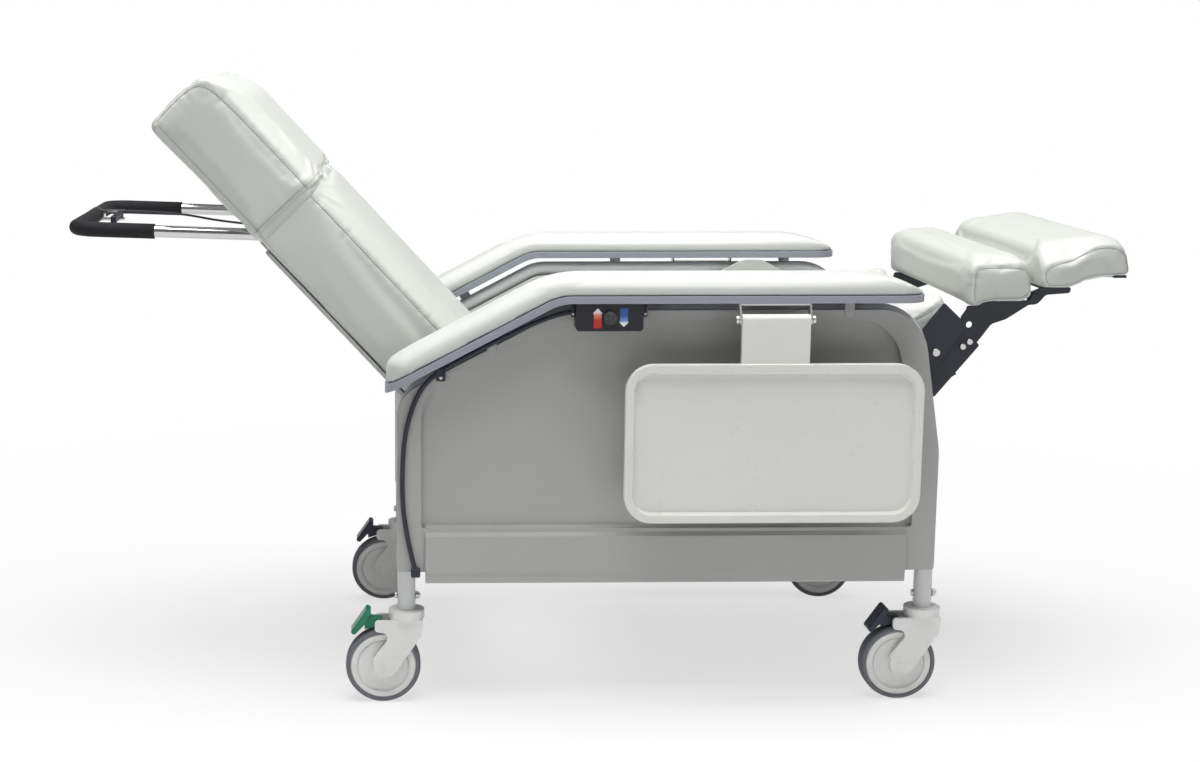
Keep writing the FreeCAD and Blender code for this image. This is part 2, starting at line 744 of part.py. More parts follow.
PEDAL_EYE = 6
pedal_arm = prism(
    "pedal_arm",
    "XZ_Plane",
    (
        (PEDAL_PIN_X + PEDAL_EYE, PEDAL_PIN_Z - PEDAL_EYE + 1, 4.5),
        (PEDAL_PIN_X + PEDAL_EYE, PEDAL_PIN_Z + PEDAL_EYE - 1, 4.5),
        (-70, PEDAL_PIN_Z + 8, 0),
        (-70, PEDAL_PIN_Z - 14, 0),
    ),
    dim.pedal_width - 12,
    y=dim.pedal_width / 2 - 6,
    holes=((PEDAL_PIN_X, PEDAL_PIN_Z, dim.pedal_pin_dia + dim.run_gap),),
)
pedal_tread = prism(
    "pedal_tread",
    "XZ_Plane",
    (
        (-58, 156, 4),
        (-66, 161, 4),
        (-94, 121, 4),
        (-87, 116, 4),
        (-68, 136, 0),
    ),
    dim.pedal_width,
    y=dim.pedal_width / 2,
)
pedal = fuse("caster_pedal", pedal_arm, pedal_tread)
doc.recompute()

for leg, (leg_x, leg_y) in LEGS.items():
    for piece, source in (("fork", fork), ("pedal", pedal)):
        copy = sub_part(f"{leg}_{piece}", feature(f"{leg}_{piece}", source.Shape.copy()))
        put_at(copy, leg_x, leg_y, 0)
    for piece, source in (("rim", rim), ("tyre", tyre)):
        copy = sub_part(f"{leg}_{piece}", feature(f"{leg}_{piece}", source.Shape.copy()))
        put_at(copy, leg_x - dim.trail, leg_y, AXLE_Z)

# Armrests: bent base board with standoff bosses, and crowned pad

ARM_BASE_Z = num.arm_rail_z + num.tube_dia / 2 + num.arm_gap
ARM_TURN = math.tan(ARM_SLOPE / 2)


def arm_band(low, high):
    """Side outline of the armrest between two heights above its underside."""
    reach = (num.arm_bend_x - num.arm_rear_x) + 60
    corners = []
    for height, backwards in ((low, False), (high, True)):
        bend = (num.arm_bend_x - height * ARM_TURN, ARM_BASE_Z + height, num.arm_bend + height)
        rear = (bend[0] - reach, bend[1] - reach * math.tan(ARM_SLOPE), 0)
        front = (num.arm_front_x + 60, ARM_BASE_Z + height, 0)
        run = [rear, bend, front]
        corners += reversed(run) if backwards else run
    outer_y = ARM_CENTRE_Y.value + num.arm_width
    return side_slab(corners, ARM_CENTRE_Y.value - num.arm_width, outer_y)


def arm_plan(inset):
    """Plan outline of the armrest as a tall block."""
    half = num.arm_width / 2 - inset
    y = -ARM_CENTRE_Y.value
    low = num.arm_rear_x + inset
    high = num.arm_front_x - inset
    corners = ((low, y - half), (high, y - half), (high, y + half), (low, y + half))
    points = [(Vector(u, v, 0), num.arm_tip_radius - inset) for u, v in corners]
    face = Part.Face(Part.Wire(rounded_edges(points, closed=True)))
    return face.extrude(Vector(0, 0, 2 * ARM_BASE_Z))


def arm_base():
    board = arm_band(0, num.arm_base_thick).common(arm_plan(0))
    boss_height = num.arm_gap - num.seat_gap
    up = Vector(-math.sin(ARM_SLOPE), 0, math.cos(ARM_SLOPE))
    rail_top = num.tube_dia / 2 + num.seat_gap
    bosses = []
    for x in (num.tilt_x + 20, FRONT_TOP_X - 1.3 * num.rail_bend):
        spot = Vector(x, -num.frame_half_width, num.arm_rail_z + rail_top)
        bosses.append(Part.makeCylinder(num.boss_dia / 2, boss_height + 2, spot, Vector(0, 0, 1)))
    slope_x = (num.hoop_bend_x + num.rear_leg_x) / 2
    slope_z = num.arm_rail_z - HOOP_DROP / 2
    foot = Vector(slope_x, -num.frame_half_width, slope_z) + up * rail_top
    slope_height = boss_height + SLOPE_EXTRA
    bosses.append(Part.makeCylinder(num.boss_dia / 2, slope_height, foot, up))
    return board.multiFuse(bosses).removeSplitter()


SLOPE_EXTRA = 4


def arm_pad():
    low = num.arm_base_thick + num.seat_gap
    pad = arm_band(low, num.arm_base_thick + num.arm_pad_thick).common(arm_plan(num.arm_pad_inset))
    top_edges = []
    for edge in pad.Edges:
        centre = edge.BoundBox.Center
        on_slope = centre.x < num.arm_bend_x
        fall = (num.arm_bend_x - centre.x) * math.tan(ARM_SLOPE) if on_slope else 0
        if centre.z + fall > ARM_BASE_Z + num.arm_base_thick + 0.7 * num.arm_pad_thick:
            top_edges.append(edge)
    pad = pad.makeFillet(num.arm_pad_round, top_edges)
    top = ARM_BASE_Z + num.arm_base_thick + num.arm_pad_thick
    fall = (
        (num.arm_front_x - 100, top, 0),
        (num.arm_front_x - 48, top, 205),
        (num.arm_front_x + 12, top - 34.6, 0),
        (num.arm_front_x + 12, top + 2, 0),
        (num.arm_front_x - 100, top + 2, 0),
    )
    outer_y = ARM_CENTRE_Y.value + num.arm_width
    return pad.cut(side_slab(fall, ARM_CENTRE_Y.value - num.arm_width, outer_y))


right_base = sub_part("right_arm_base", feature("right_arm_base", arm_base()))
sub_part("left_arm_base", mirrored("left_arm_base", right_base))
right_pad = sub_part("right_arm_pad", feature("right_arm_pad", arm_pad()))
sub_part("left_arm_pad", mirrored("left_arm_pad", right_pad))

# Moulded side panel: raised border over the hoop, recessed plate, skirt, hollow behind

PANEL_INNER = num.frame_half_width + num.tube_dia / 2 + num.seat_gap
PANEL_TOP = num.arm_rail_z + 8
SLOPE_RISE = math.tan(ARM_SLOPE)


def panel_corners(inset, bottom):
    """Outline parallel to the hoop, drawn inwards by inset."""
    rear = num.panel_rear_x + inset
    front = num.panel_front_x - inset
    top = PANEL_TOP - 0.4 * inset
    bend_x = num.hoop_bend_x - 4
    rear_top = top - (bend_x - rear) * SLOPE_RISE
    lean_top = front - num.front_lean - 0.1 * inset
    return (
        (rear, bottom, 5),
        (rear, rear_top, num.rear_bend),
        (bend_x, top, num.rail_bend),
        (lean_top, top, num.rail_bend + 8),
        (front, num.lean_start_z, num.lean_bend),
        (front, bottom, 5),
    )


def skirt():
    outer = PANEL_INNER + num.panel_rim + num.skirt_proud
    inner = PANEL_INNER
    section = (
        (inner, num.skirt_bottom_z),
        (outer - 5, num.skirt_bottom_z),
        (outer - 1.5, num.skirt_bottom_z + 3),
        (outer - 1.5, num.panel_bottom_z - 2),
        (outer, num.panel_bottom_z),
        (outer, num.skirt_top_z),
        (inner + num.panel_plate, num.recess_bottom_z + 4),
        (inner, num.recess_bottom_z + 4),
    )
    hollow = (
        (inner - 1, num.skirt_bottom_z - 1),
        (outer - 9, num.skirt_bottom_z - 1),
        (outer - num.panel_wall - 1.5, num.skirt_bottom_z + 8),
        (outer - num.panel_wall - 1.5, num.skirt_top_z - 6),
        (inner - 1, num.skirt_top_z - 2),
    )
    low = num.panel_rear_x + num.border + 7
    high = num.panel_front_x - num.border - 9
    solids = []
    for outline, start, end in ((section, low, high), (hollow, low + 4, high - 4)):
        points = [Vector(start, -y, z) for y, z in outline]
        face = Part.Face(Part.makePolygon(points + points[:1]))
        solids.append(face.extrude(Vector(end - start, 0, 0)))
    return solids


def side_panel():
    outer_y = PANEL_INNER + num.panel_rim
    plate_y = PANEL_INNER + num.panel_plate
    shell = side_slab(panel_corners(0, num.panel_bottom_z), PANEL_INNER, outer_y)
    recess = side_slab(panel_corners(num.border, num.recess_bottom_z), plate_y, outer_y + 1)
    wall = num.panel_wall
    border_hollow = side_slab(
        panel_corners(wall, num.panel_bottom_z + wall), PANEL_INNER - 1, outer_y - wall
    )
    keep = side_slab(
        panel_corners(num.border - wall, num.recess_bottom_z - wall), PANEL_INNER - 2, outer_y
    )
    solid_skirt, skirt_hollow = skirt()
    plate_back = side_slab(
        panel_corners(num.border - wall, num.recess_bottom_z - wall),
        PANEL_INNER - 1,
        plate_y - wall,
    )
    moulding = shell.cut(recess).fuse(solid_skirt)
    return moulding.cut(border_hollow.cut(keep)).cut(skirt_hollow).cut(plate_back).removeSplitter()


right_panel = sub_part("right_side_panel", feature("right_side_panel", side_panel()))
sub_part("left_side_panel", mirrored("left_side_panel", right_panel))

# Padded liner boards inside the arms, with a tongue over the arm rail

LINER_BLOCK = 18


def side_liner():
    rear = num.rear_leg_x + 40
    front = num.front_leg_x - 28
    top = num.liner_top_z
    hump = num.liner_hump_x
    rise = num.liner_hump_z - top
    corners = (
        (rear, num.recess_bottom_z, 12),
        (rear, top - (num.hoop_bend_x - rear) * SLOPE_RISE, 40),
        (num.hoop_bend_x, top, 60),
        (hump - 78, top, 60),
        (hump - 18, top + rise, 30),
        (hump + 18, top + rise, 30),
        (hump + 78, top, 60),
        (front - num.front_lean, top, 50),
        (front, num.lean_start_z, 80),
        (front, num.recess_bottom_z, 12),
    )
    outer = LINER_Y.value + num.liner_thick
    board = side_slab(corners, LINER_Y.value, outer)
    stud_hole = Part.makeCylinder(
        num.tilt_collar_dia / 2 + 4,
        num.frame_half_width,
        Vector(num.tilt_x, -num.frame_half_width, num.tilt_z),
        Vector(0, 1, 0),
    )
    reach = num.frame_half_width - num.side_rail_dia / 2 - num.seat_gap - outer
    blocks = []
    for x in (rear + 70, front - 90):
        low = Vector(x, -outer - reach, num.tilt_z - LINER_BLOCK / 2)
        blocks.append(Part.makeBox(2 * LINER_BLOCK, reach + 1, LINER_BLOCK, low))
    return board.cut(stud_hole).multiFuse(blocks).removeSplitter()


right_liner = sub_part("right_side_liner", feature("right_side_liner", side_liner()))
sub_part("left_side_liner", mirrored("left_side_liner", right_liner))

# Trays: bracket under the armrest, hinge pin, dished tray with neck and barrel

EAR_REAR = dim.tray_mid_x - dim.neck_width / 2 - dim.seat_gap - dim.ear_thick
EAR_FRONT = dim.tray_mid_x + dim.neck_width / 2 + dim.seat_gap
ARM_UNDERSIDE = dim.arm_rail_z + dim.tube_dia / 2 + dim.arm_gap
EAR_ROUND = 10
ears = []
for ear_name, ear_x in (("rear", EAR_REAR), ("front", EAR_FRONT)):
    ears.append(
        prism(
            f"tray_ear_{ear_name}",
            "YZ_Plane",
            (
                (-TRAY_PIN_Y - EAR_ROUND, dim.tray_pin_z - EAR_ROUND, EAR_ROUND - 1),
                (-TRAY_PIN_Y + 14, dim.tray_pin_z - EAR_ROUND, EAR_ROUND - 1),
                (-TRAY_PIN_Y + 26, ARM_UNDERSIDE, 0),
                (-TRAY_PIN_Y + 6, ARM_UNDERSIDE, 0),
            ),
            dim.ear_thick,
            x=ear_x,
            holes=((-TRAY_PIN_Y, dim.tray_pin_z, dim.tray_pin_dia + dim.run_gap),),
        )
    )
bracket_web = box(
    "tray_bracket_web",
    EAR_FRONT + dim.ear_thick - EAR_REAR,
    20,
    dim.ear_thick,
    EAR_REAR,
    -TRAY_PIN_Y + 6,
    ARM_UNDERSIDE - dim.ear_thick,
)
right_bracket = sub_part("right_tray_bracket", fuse("right_tray_bracket", bracket_web, *ears))
sub_part("left_tray_bracket", mirrored("left_tray_bracket", right_bracket))

PIN_HEAD = 5
pin_length = EAR_FRONT + dim.ear_thick - EAR_REAR + 8
pin_start = EAR_REAR - 4
tray_pins = []
for side, sign in (("right", -1), ("left", 1)):
    pin_y = sign * TRAY_PIN_Y
    shank = cylinder(f"tray_pin_{side}", dim.tray_pin_dia, pin_length, pin_start, pin_y, dim.tray_pin_z, "x")
    head_x = pin_start - PIN_HEAD + 3.7
    head = cylinder(f"tray_pin_head_{side}", 14, PIN_HEAD, head_x - 1, pin_y, dim.tray_pin_z, "x")
    nut_x = EAR_FRONT + dim.ear_thick + dim.seat_gap
    nut = cylinder(f"tray_pin_nut_{side}", 14, PIN_HEAD, nut_x, pin_y, dim.tray_pin_z, "x")
    tray_pins.append(fuse(f"tray_bolt_{side}", shank, head, nut))
sub_part("tray_pins", group("tray_pins", *tray_pins))


def tray_rectangle(inset, radius):
    """Corners of the tray outline drawn in by inset."""
    half = dim.tray_length / 2 - inset
    low_x = dim.tray_mid_x - half
    high_x = dim.tray_mid_x + half
    high_z = dim.tray_top_z - inset
    low_z = dim.tray_top_z - dim.tray_height + inset
    corners = ((low_x, low_z), (high_x, low_z), (high_x, high_z), (low_x, high_z))
    return tuple((u, v, radius) for u, v in corners)


TRAY_BACK = dim.tray_depth - TRAY_FACE_Y
tray_block = prism("tray_block", "XZ_Plane", tray_rectangle(0, dim.tray_corner), dim.tray_depth, y=TRAY_BACK)


def tray_wall(inset, depth):
    """Rounded outline of the well at a depth behind the tray face."""
    radius = num.tray_corner - inset
    corners = tuple((u.value, v.value, radius) for u, v, r in tray_rectangle(inset, radius))
    return upright_face(corners, depth - TRAY_FACE_Y.value).OuterWire


WELL_DEPTH = num.tray_depth - num.tray_floor
WELL_DRAFT = 3
well_loft = Part.makeLoft(
    [tray_wall(num.tray_rim, 0), tray_wall(num.tray_rim + WELL_DRAFT, WELL_DEPTH)], True, True
)
tray_well = feature("tray_well", well_loft)
tray_under = prism(
    "tray_under",
    "XZ_Plane",
    tray_rectangle(4, dim.tray_corner - 4),
    dim.tray_depth,
    y=TRAY_BACK + dim.tray_depth - 2,
)
NECK_LOW = dim.tray_top_z - 10
neck_half = dim.neck_width / 2
neck = prism(
    "tray_neck",
    "XZ_Plane",
    (
        (dim.tray_mid_x - neck_half, NECK_LOW, 0),
        (dim.tray_mid_x + neck_half, NECK_LOW, 0),
        (dim.tray_mid_x + neck_half, dim.tray_pin_z, 0),
        (dim.tray_mid_x - neck_half, dim.tray_pin_z, 0),
    ),
    dim.neck_thick,
    y=dim.neck_thick - TRAY_FACE_Y + 6,
)
barrel = cylinder(
    "tray_barrel",
    dim.tray_barrel_dia,
    dim.neck_width,
    dim.tray_mid_x - neck_half,
    -TRAY_PIN_Y,
    dim.tray_pin_z,
    "x",
)
barrel_bore = cylinder(
    "tray_barrel_bore",
    dim.tray_pin_dia + dim.run_gap,
    dim.neck_width + 2,
    dim.tray_mid_x - neck_half - 1,
    -TRAY_PIN_Y,
    dim.tray_pin_z,
    "x",
)
tray_dish = cut("tray_dish", cut("tray_hollowed", tray_block, tray_well), tray_under)
right_tray = cut("right_tray", fuse("tray_solid", tray_dish, neck, barrel), barrel_bore)
sub_part("right_tray", right_tray)
sub_part("left_tray", mirrored("left_tray", right_tray))

# Control box under the right armrest, its knob and its cable

CONTROL_TOP = ARM_UNDERSIDE - dim.seat_gap
CONTROL_BOTTOM = CONTROL_TOP - dim.control_height
KNOB_X = dim.control_rear_x + dim.control_length / 2
KNOB_Z = CONTROL_TOP - dim.control_height / 2
control_end = dim.control_rear_x + dim.control_length
control = prism(
    "control_housing",
    "XZ_Plane",
    (
        (dim.control_rear_x, CONTROL_BOTTOM, 6),
        (control_end, CONTROL_BOTTOM, 6),
        (control_end, CONTROL_TOP, 2),
        (dim.control_rear_x, CONTROL_TOP, 2),
    ),
    dim.control_depth,
    y=dim.control_depth - CONTROL_FACE_Y,
    holes=((KNOB_X, KNOB_Z, dim.knob_shaft_dia + dim.run_gap),),
)
sub_part("control_housing", control)
knob_y = -CONTROL_FACE_Y - dim.seat_gap
knob_cap = cylinder("knob_cap", dim.knob_dia, dim.knob_length, KNOB_X, knob_y - dim.knob_length, KNOB_Z, "y")
knob_shaft = cylinder("knob_shaft", dim.knob_shaft_dia, 24, KNOB_X, knob_y - 2, KNOB_Z, "y")
knob_bar = box(
    "knob_bar",
    5,
    4,
    dim.knob_dia - 5,
    KNOB_X - 2.5,
    knob_y - dim.knob_length - 3,
    KNOB_Z - dim.knob_dia / 2 + 2.5,
)
sub_part("control_knob", fuse("control_knob", knob_cap, knob_shaft, knob_bar))


def eased_route(spots):
    """Gives each inner point of a cord's route the largest arc that its runs allow."""
    points = [(spots[0], 0)]
    for i in range(1, len(spots) - 1):
        before = spots[i] - spots[i - 1]
        after = spots[i + 1] - spots[i]
        turn = before.getAngle(after)
        shorter = min(before.Length, after.Length)
        points.append((spots[i], 0.45 * shorter / math.tan(turn / 2)))
    points.append((spots[-1], 0))
    return points


def cord(name, spots, dia):
    """A round cord along hand-chosen points; prints its length, radii and volume ratio."""
    points = eased_route(spots)
    path = Part.Wire(Part.__sortEdges__(rounded_edges(points)))
    solid = pipe(points, dia)
    ratio = solid.Volume / (math.pi * dia * dia / 4 * path.Length)
    radii = ", ".join(f"{radius:.0f}" for spot, radius in points if radius)
    print(f"{name}: length {path.Length:.0f} mm, radii {radii}, volume ratio {ratio:.4f}")
    return feature(name, solid)


CABLE_Y = -(PANEL_INNER + num.panel_rim + num.control_cable_dia / 2 + num.seat_gap)
CONTROL_CABLE = (
    (num.control_rear_x - num.seat_gap, 662),
    (-100, 658),
    (-262, 575),
    (-300, 548),
    (-322, 508),
    (-338, 440),
    (-338, 310),
    (-316, 230),
)
control_route = [Vector(x, CABLE_Y, z) for x, z in CONTROL_CABLE]
sub_part("control_cable", cord("control_cable", control_route, num.control_cable_dia))

# Gas spring that holds the tilt: cylinder on the rear clevis, rod with an open eye

GAS_START = Vector(num.gas_x, 0, num.gas_z)
GAS_END = Vector(num.gas_eye_x, 0, num.gas_eye_z - num.gas_eye_drop)
GAS_SPAN = GAS_START.distanceToPoint(GAS_END)
GAS_LINE = (GAS_END - GAS_START).normalize()
GAS_OVERLAP = 70
EYE_WIDTH = 15
EYE_WALL = 4


def across(radius, spot, width=EYE_WIDTH):
    """A cylinder along Y, centred on the middle plane."""
    return Part.makeCylinder(radius, width, Vector(spot.x, -width / 2, spot.z), Vector(0, 1, 0))


def gas_cylinder():
    hole = (num.gas_pin_dia + num.run_gap) / 2
    eye = across(hole + EYE_WALL, GAS_START)
    neck_start = GAS_START + GAS_LINE * (hole + 2)
    neck_bar = Part.makeCylinder(6, 24, neck_start, GAS_LINE)
    tube_start = GAS_START + GAS_LINE * 22
    tube = Part.makeCylinder(num.gas_tube_dia / 2, num.gas_tube_length, tube_start, GAS_LINE)
    rod_bore = Part.makeCylinder(
        (num.gas_rod_dia + num.run_gap) / 2,
        num.gas_tube_length,
        tube_start + GAS_LINE * 8,
        GAS_LINE,
    )
    solid = eye.multiFuse([neck_bar, tube]).cut(rod_bore)
    return solid.cut(across(hole, GAS_START, 2 * EYE_WIDTH)).removeSplitter()


def gas_rod():
    hole = num.gas_eye_hole / 2
    eye = across(hole + EYE_WALL, GAS_END)
    inside = 22 + num.gas_tube_length - GAS_OVERLAP
    rod_start = GAS_START + GAS_LINE * inside
    rod = Part.makeCylinder(num.gas_rod_dia / 2, GAS_SPAN - inside - hole - 1, rod_start, GAS_LINE)
    return eye.fuse(rod).cut(across(hole, GAS_END, 2 * EYE_WIDTH)).removeSplitter()


sub_part("gas_spring_cylinder", feature("gas_spring_cylinder", gas_cylinder()))
sub_part("gas_spring_rod", feature("gas_spring_rod", gas_rod()))

# Seat: ribbed pan, crowned cushion, side plates with pivots

SEAT_TURN = Rotation(Vector(0, 1, 0), -num.seat_slope)
SEAT_SPOT = Vector(num.seat_front_x, 0, num.seat_front_z)
SEAT_PLACE = Placement(SEAT_SPOT, SEAT_TURN)


def on_seat(along, above):
    """A point of the seat's own axes in the chair's frame, as (x, z)."""
    spot = SEAT_PLACE.multVec(Vector(along, 0, above))
    return spot.x, spot.z


seat_pad = cushion(
    -num.seat_length,
    0,
    num.seat_half_width,
    -num.seat_thick,
    0,
    num.seat_crown,
    34,
    5,
)
sub_part("seat_cushion", feature("seat_cushion", seat_pad, SEAT_PLACE))

FRAME_TOP = -num.seat_thick - num.seat_gap
FRAME_REAR = 24 - dim.seat_length
FRAME_FRONT = -40
FRAME_HALF = dim.seat_half_width - 8
STUB_REAR = -520
STUB_MID = -270
ladder = [(FRAME_REAR, -FRAME_HALF)]
for stub in (STUB_REAR, STUB_MID):
    ladder += [
        (stub, -FRAME_HALF),
        (stub, -dim.plate_y),
        (stub + dim.seat_bar, -dim.plate_y),
        (stub + dim.seat_bar, -FRAME_HALF),
    ]
ladder += [(FRAME_FRONT, -FRAME_HALF)]
ladder += [(u, -v) for u, v in reversed(ladder)]
seat_frame = doc.addObject("PartDesign::Body", "seat_frame")
ladder_sketch = sketch_in(seat_frame, "XY_Plane", "seat_frame_outline")
draw_loop(ladder_sketch, ladder)
ladder_pad = seat_frame.newObject("PartDesign::Pad", "seat_frame_pad")
ladder_pad.Profile = ladder_sketch
ladder_pad.Reversed = True
bind(ladder_pad, Length=dim.seat_bar)
hollow_sketch = sketch_in(seat_frame, "XY_Plane", "seat_frame_hollows")
hollow_sketch.setExpression("AttachmentOffset.Base.z", (-dim.seat_bar).text)
window_half = FRAME_HALF - dim.seat_bar
for low, high in (
    (FRAME_REAR + dim.seat_bar, as_size(STUB_REAR)),
    (STUB_REAR + dim.seat_bar, as_size(STUB_MID)),
    (STUB_MID + dim.seat_bar, FRAME_FRONT - dim.seat_bar),
):
    draw_loop(
        hollow_sketch,
        ((low, -window_half), (high, -window_half), (high, window_half), (low, window_half)),
    )
hollows = seat_frame.newObject("PartDesign::Pocket", "seat_frame_hollow_cut")
hollows.Profile = hollow_sketch
hollows.Reversed = True
bind(hollows, Length=dim.seat_bar - dim.pan_skin)
lug_sketch = sketch_in(seat_frame, "XZ_Plane", "gas_lug_outline")
gas_local = SEAT_PLACE.inverse().multVec(Vector(num.gas_eye_x, 0, num.gas_eye_z))
LUG_DROP = FRAME_TOP
lug_x = gas_local.x
lug_z = gas_local.z - LUG_DROP
draw_loop(
    lug_sketch,
    (
        (FRAME_REAR + 12, as_size(-2)),
        (-dim.seat_length - 6, as_size(-2)),
        (lug_x - 2, lug_z + 12),
        (lug_x - 12, lug_z - 10),
        (FRAME_REAR + 12, 2 - dim.seat_bar),
    ),
)
LUG_OUTER = 13
lug_pad = seat_frame.newObject("PartDesign::Pad", "gas_lug_pad")
lug_pad.Profile = lug_sketch
lug_pad.Length = 2 * LUG_OUTER
lug_pad.Midplane = True
slot_sketch = sketch_in(seat_frame, "XZ_Plane", "gas_lug_slot")
draw_loop(
    slot_sketch,
    (
        (lug_x - 60, lug_z - 60),
        (FRAME_REAR - 2, lug_z - 60),
        (FRAME_REAR - 2, lug_z + 60),
        (lug_x - 60, lug_z + 60),
    ),
)
lug_slot = seat_frame.newObject("PartDesign::Pocket", "gas_lug_slot_cut")
lug_slot.Profile = slot_sketch
lug_slot.Length = 2 * LUG_OUTER - 8
lug_slot.Midplane = True
pin_sketch = sketch_in(seat_frame, "XZ_Plane", "gas_lug_pin")
draw_circle(pin_sketch, lug_x, lug_z, dim.gas_pin_dia)
lug_pin = seat_frame.newObject("PartDesign::Pad", "gas_lug_pin_pad")
lug_pin.Profile = pin_sketch
lug_pin.Length = 2 * LUG_OUTER
lug_pin.Midplane = True
seat_frame.Placement = SEAT_PLACE.multiply(Placement(Vector(0, 0, FRAME_TOP), Rotation()))
doc.recompute()
sub_part("seat_frame", seat_frame)

PLATE_DROP = -num.seat_thick - num.seat_bar - 2
plate_corners = (
    (dim.back_hinge_x - 24, dim.back_hinge_z - 24, 20),
    (*on_seat(STUB_REAR - 60, PLATE_DROP), 30),
    (*on_seat(-230, PLATE_DROP), 40),
    (dim.legrest_x - 45, dim.legrest_z - 20, 20),
    (dim.legrest_x + 6, dim.legrest_z - 18, 15),
    (dim.legrest_x + 50, dim.legrest_z + 46.5, 4),
    (dim.seat_front_x - 6, dim.seat_front_z + 1.4, 3),
    (dim.legrest_x - 36, dim.legrest_z + 23, 8),
    (*on_seat(-150, -36), 20),
    (*on_seat(-420, -36), 40),
    (dim.tilt_x + 24, dim.tilt_z + 25, 20),
    (dim.tilt_x - 22, dim.tilt_z + 20, 16),
    (dim.back_hinge_x - 24, dim.back_hinge_z + 22, 18),
)
right_plate = prism(
    "right_seat_plate",
    "XZ_Plane",
    plate_corners,
    dim.plate_thick,
    y=-dim.plate_y,
    holes=(
        (dim.tilt_x, dim.tilt_z, dim.tilt_stud_dia + dim.run_gap),
        (dim.back_hinge_x, dim.back_hinge_z, dim.back_pin_dia + dim.run_gap),
        (dim.legrest_x, dim.legrest_z, dim.legrest_bolt_dia + dim.run_gap),
    ),
)
sub_part("right_seat_plate", right_plate)
sub_part("left_seat_plate", mirrored("left_seat_plate", right_plate))


def paired(name, piece):
    """A right-hand pin and its left-hand twin as one group."""
    return group(name, piece, mirrored(name + "_left", piece))


PLATE_OUTER = dim.plate_y + dim.plate_thick
hinge_pin = cylinder(
    "back_hinge_shank",
    dim.back_pin_dia,
    PLATE_OUTER + 1 - dim.ear_y + 4,
    dim.back_hinge_x,
    -PLATE_OUTER - 1,
    dim.back_hinge_z,
    "y",
)
hinge_head = cylinder(
    "back_hinge_head", dim.back_pin_dia + 10, 4, dim.back_hinge_x, -PLATE_OUTER - 4.3, dim.back_hinge_z, "y"
)
sub_part("back_hinge_pins", paired("back_hinge_pins", fuse("back_hinge_pin", hinge_pin, hinge_head)))

pivot_shank = cylinder(
    "legrest_pivot_shank",
    dim.legrest_bolt_dia,
    PLATE_OUTER + 1 - dim.leg_arm_y,
    dim.legrest_x,
    -PLATE_OUTER - 1,
    dim.legrest_z,
    "y",
)
pivot_head = cylinder(
    "legrest_pivot_head", dim.legrest_bolt_dia + 5, 4, dim.legrest_x, -PLATE_OUTER - 4.3, dim.legrest_z, "y"
)
sub_part("legrest_pivots", paired("legrest_pivots", fuse("legrest_pivot", pivot_shank, pivot_head)))

# Legrest: flanged swing plates, arms with cross bar, bolts, calf pad

SWING_RIGHT = (dim.legrest_x + 74.5, dim.legrest_z + 11)
SWING_LOW = (dim.legrest_x - 11, dim.legrest_z - 69)
SWING_TIP = (dim.legrest_x + 1, dim.legrest_z - 78)
BOLT_A = (dim.legrest_x + 46, dim.legrest_z + 9)
BOLT_B = (dim.legrest_x + 57, dim.legrest_z + 17.3)
swing_web = prism(
    "swing_web",
    "XZ_Plane",
    (
        (dim.legrest_x - 24, dim.legrest_z - 3, 12),
        (*SWING_LOW, 5),
        (*SWING_TIP, 5),
        (*SWING_RIGHT, 4),
        (SWING_RIGHT[0] - 8.5, SWING_RIGHT[1] + 9, 4),
        (dim.legrest_x + 50, dim.legrest_z + 45, 10),
        (dim.legrest_x - 8, dim.legrest_z + 27, 16),
    ),
    dim.plate_thick,
    y=-dim.swing_plate_y,
    holes=(
        (dim.legrest_x, dim.legrest_z, dim.legrest_bolt_dia + dim.run_gap),
        (*BOLT_A, dim.small_bolt_dia + dim.run_gap),
        (*BOLT_B, dim.small_bolt_dia + dim.run_gap),
    ),
)
FLANGE = 7
swing_flange = prism(
    "swing_flange",
    "XZ_Plane",
    (
        (SWING_TIP[0] + 3.8, SWING_TIP[1] + 4.6, 0),
        (SWING_RIGHT[0] - 3.8, SWING_RIGHT[1] - 4.6, 0),
        (SWING_RIGHT[0] - 6.1, SWING_RIGHT[1] - 2.7, 0),
        (SWING_TIP[0] + 1.5, SWING_TIP[1] + 6.5, 0),
    ),
    FLANGE,
    y=-dim.swing_plate_y + FLANGE - 1,
)
right_swing = sub_part("right_swing_plate", fuse("right_swing_plate", swing_web, swing_flange))
sub_part("left_swing_plate", mirrored("left_swing_plate", right_swing))

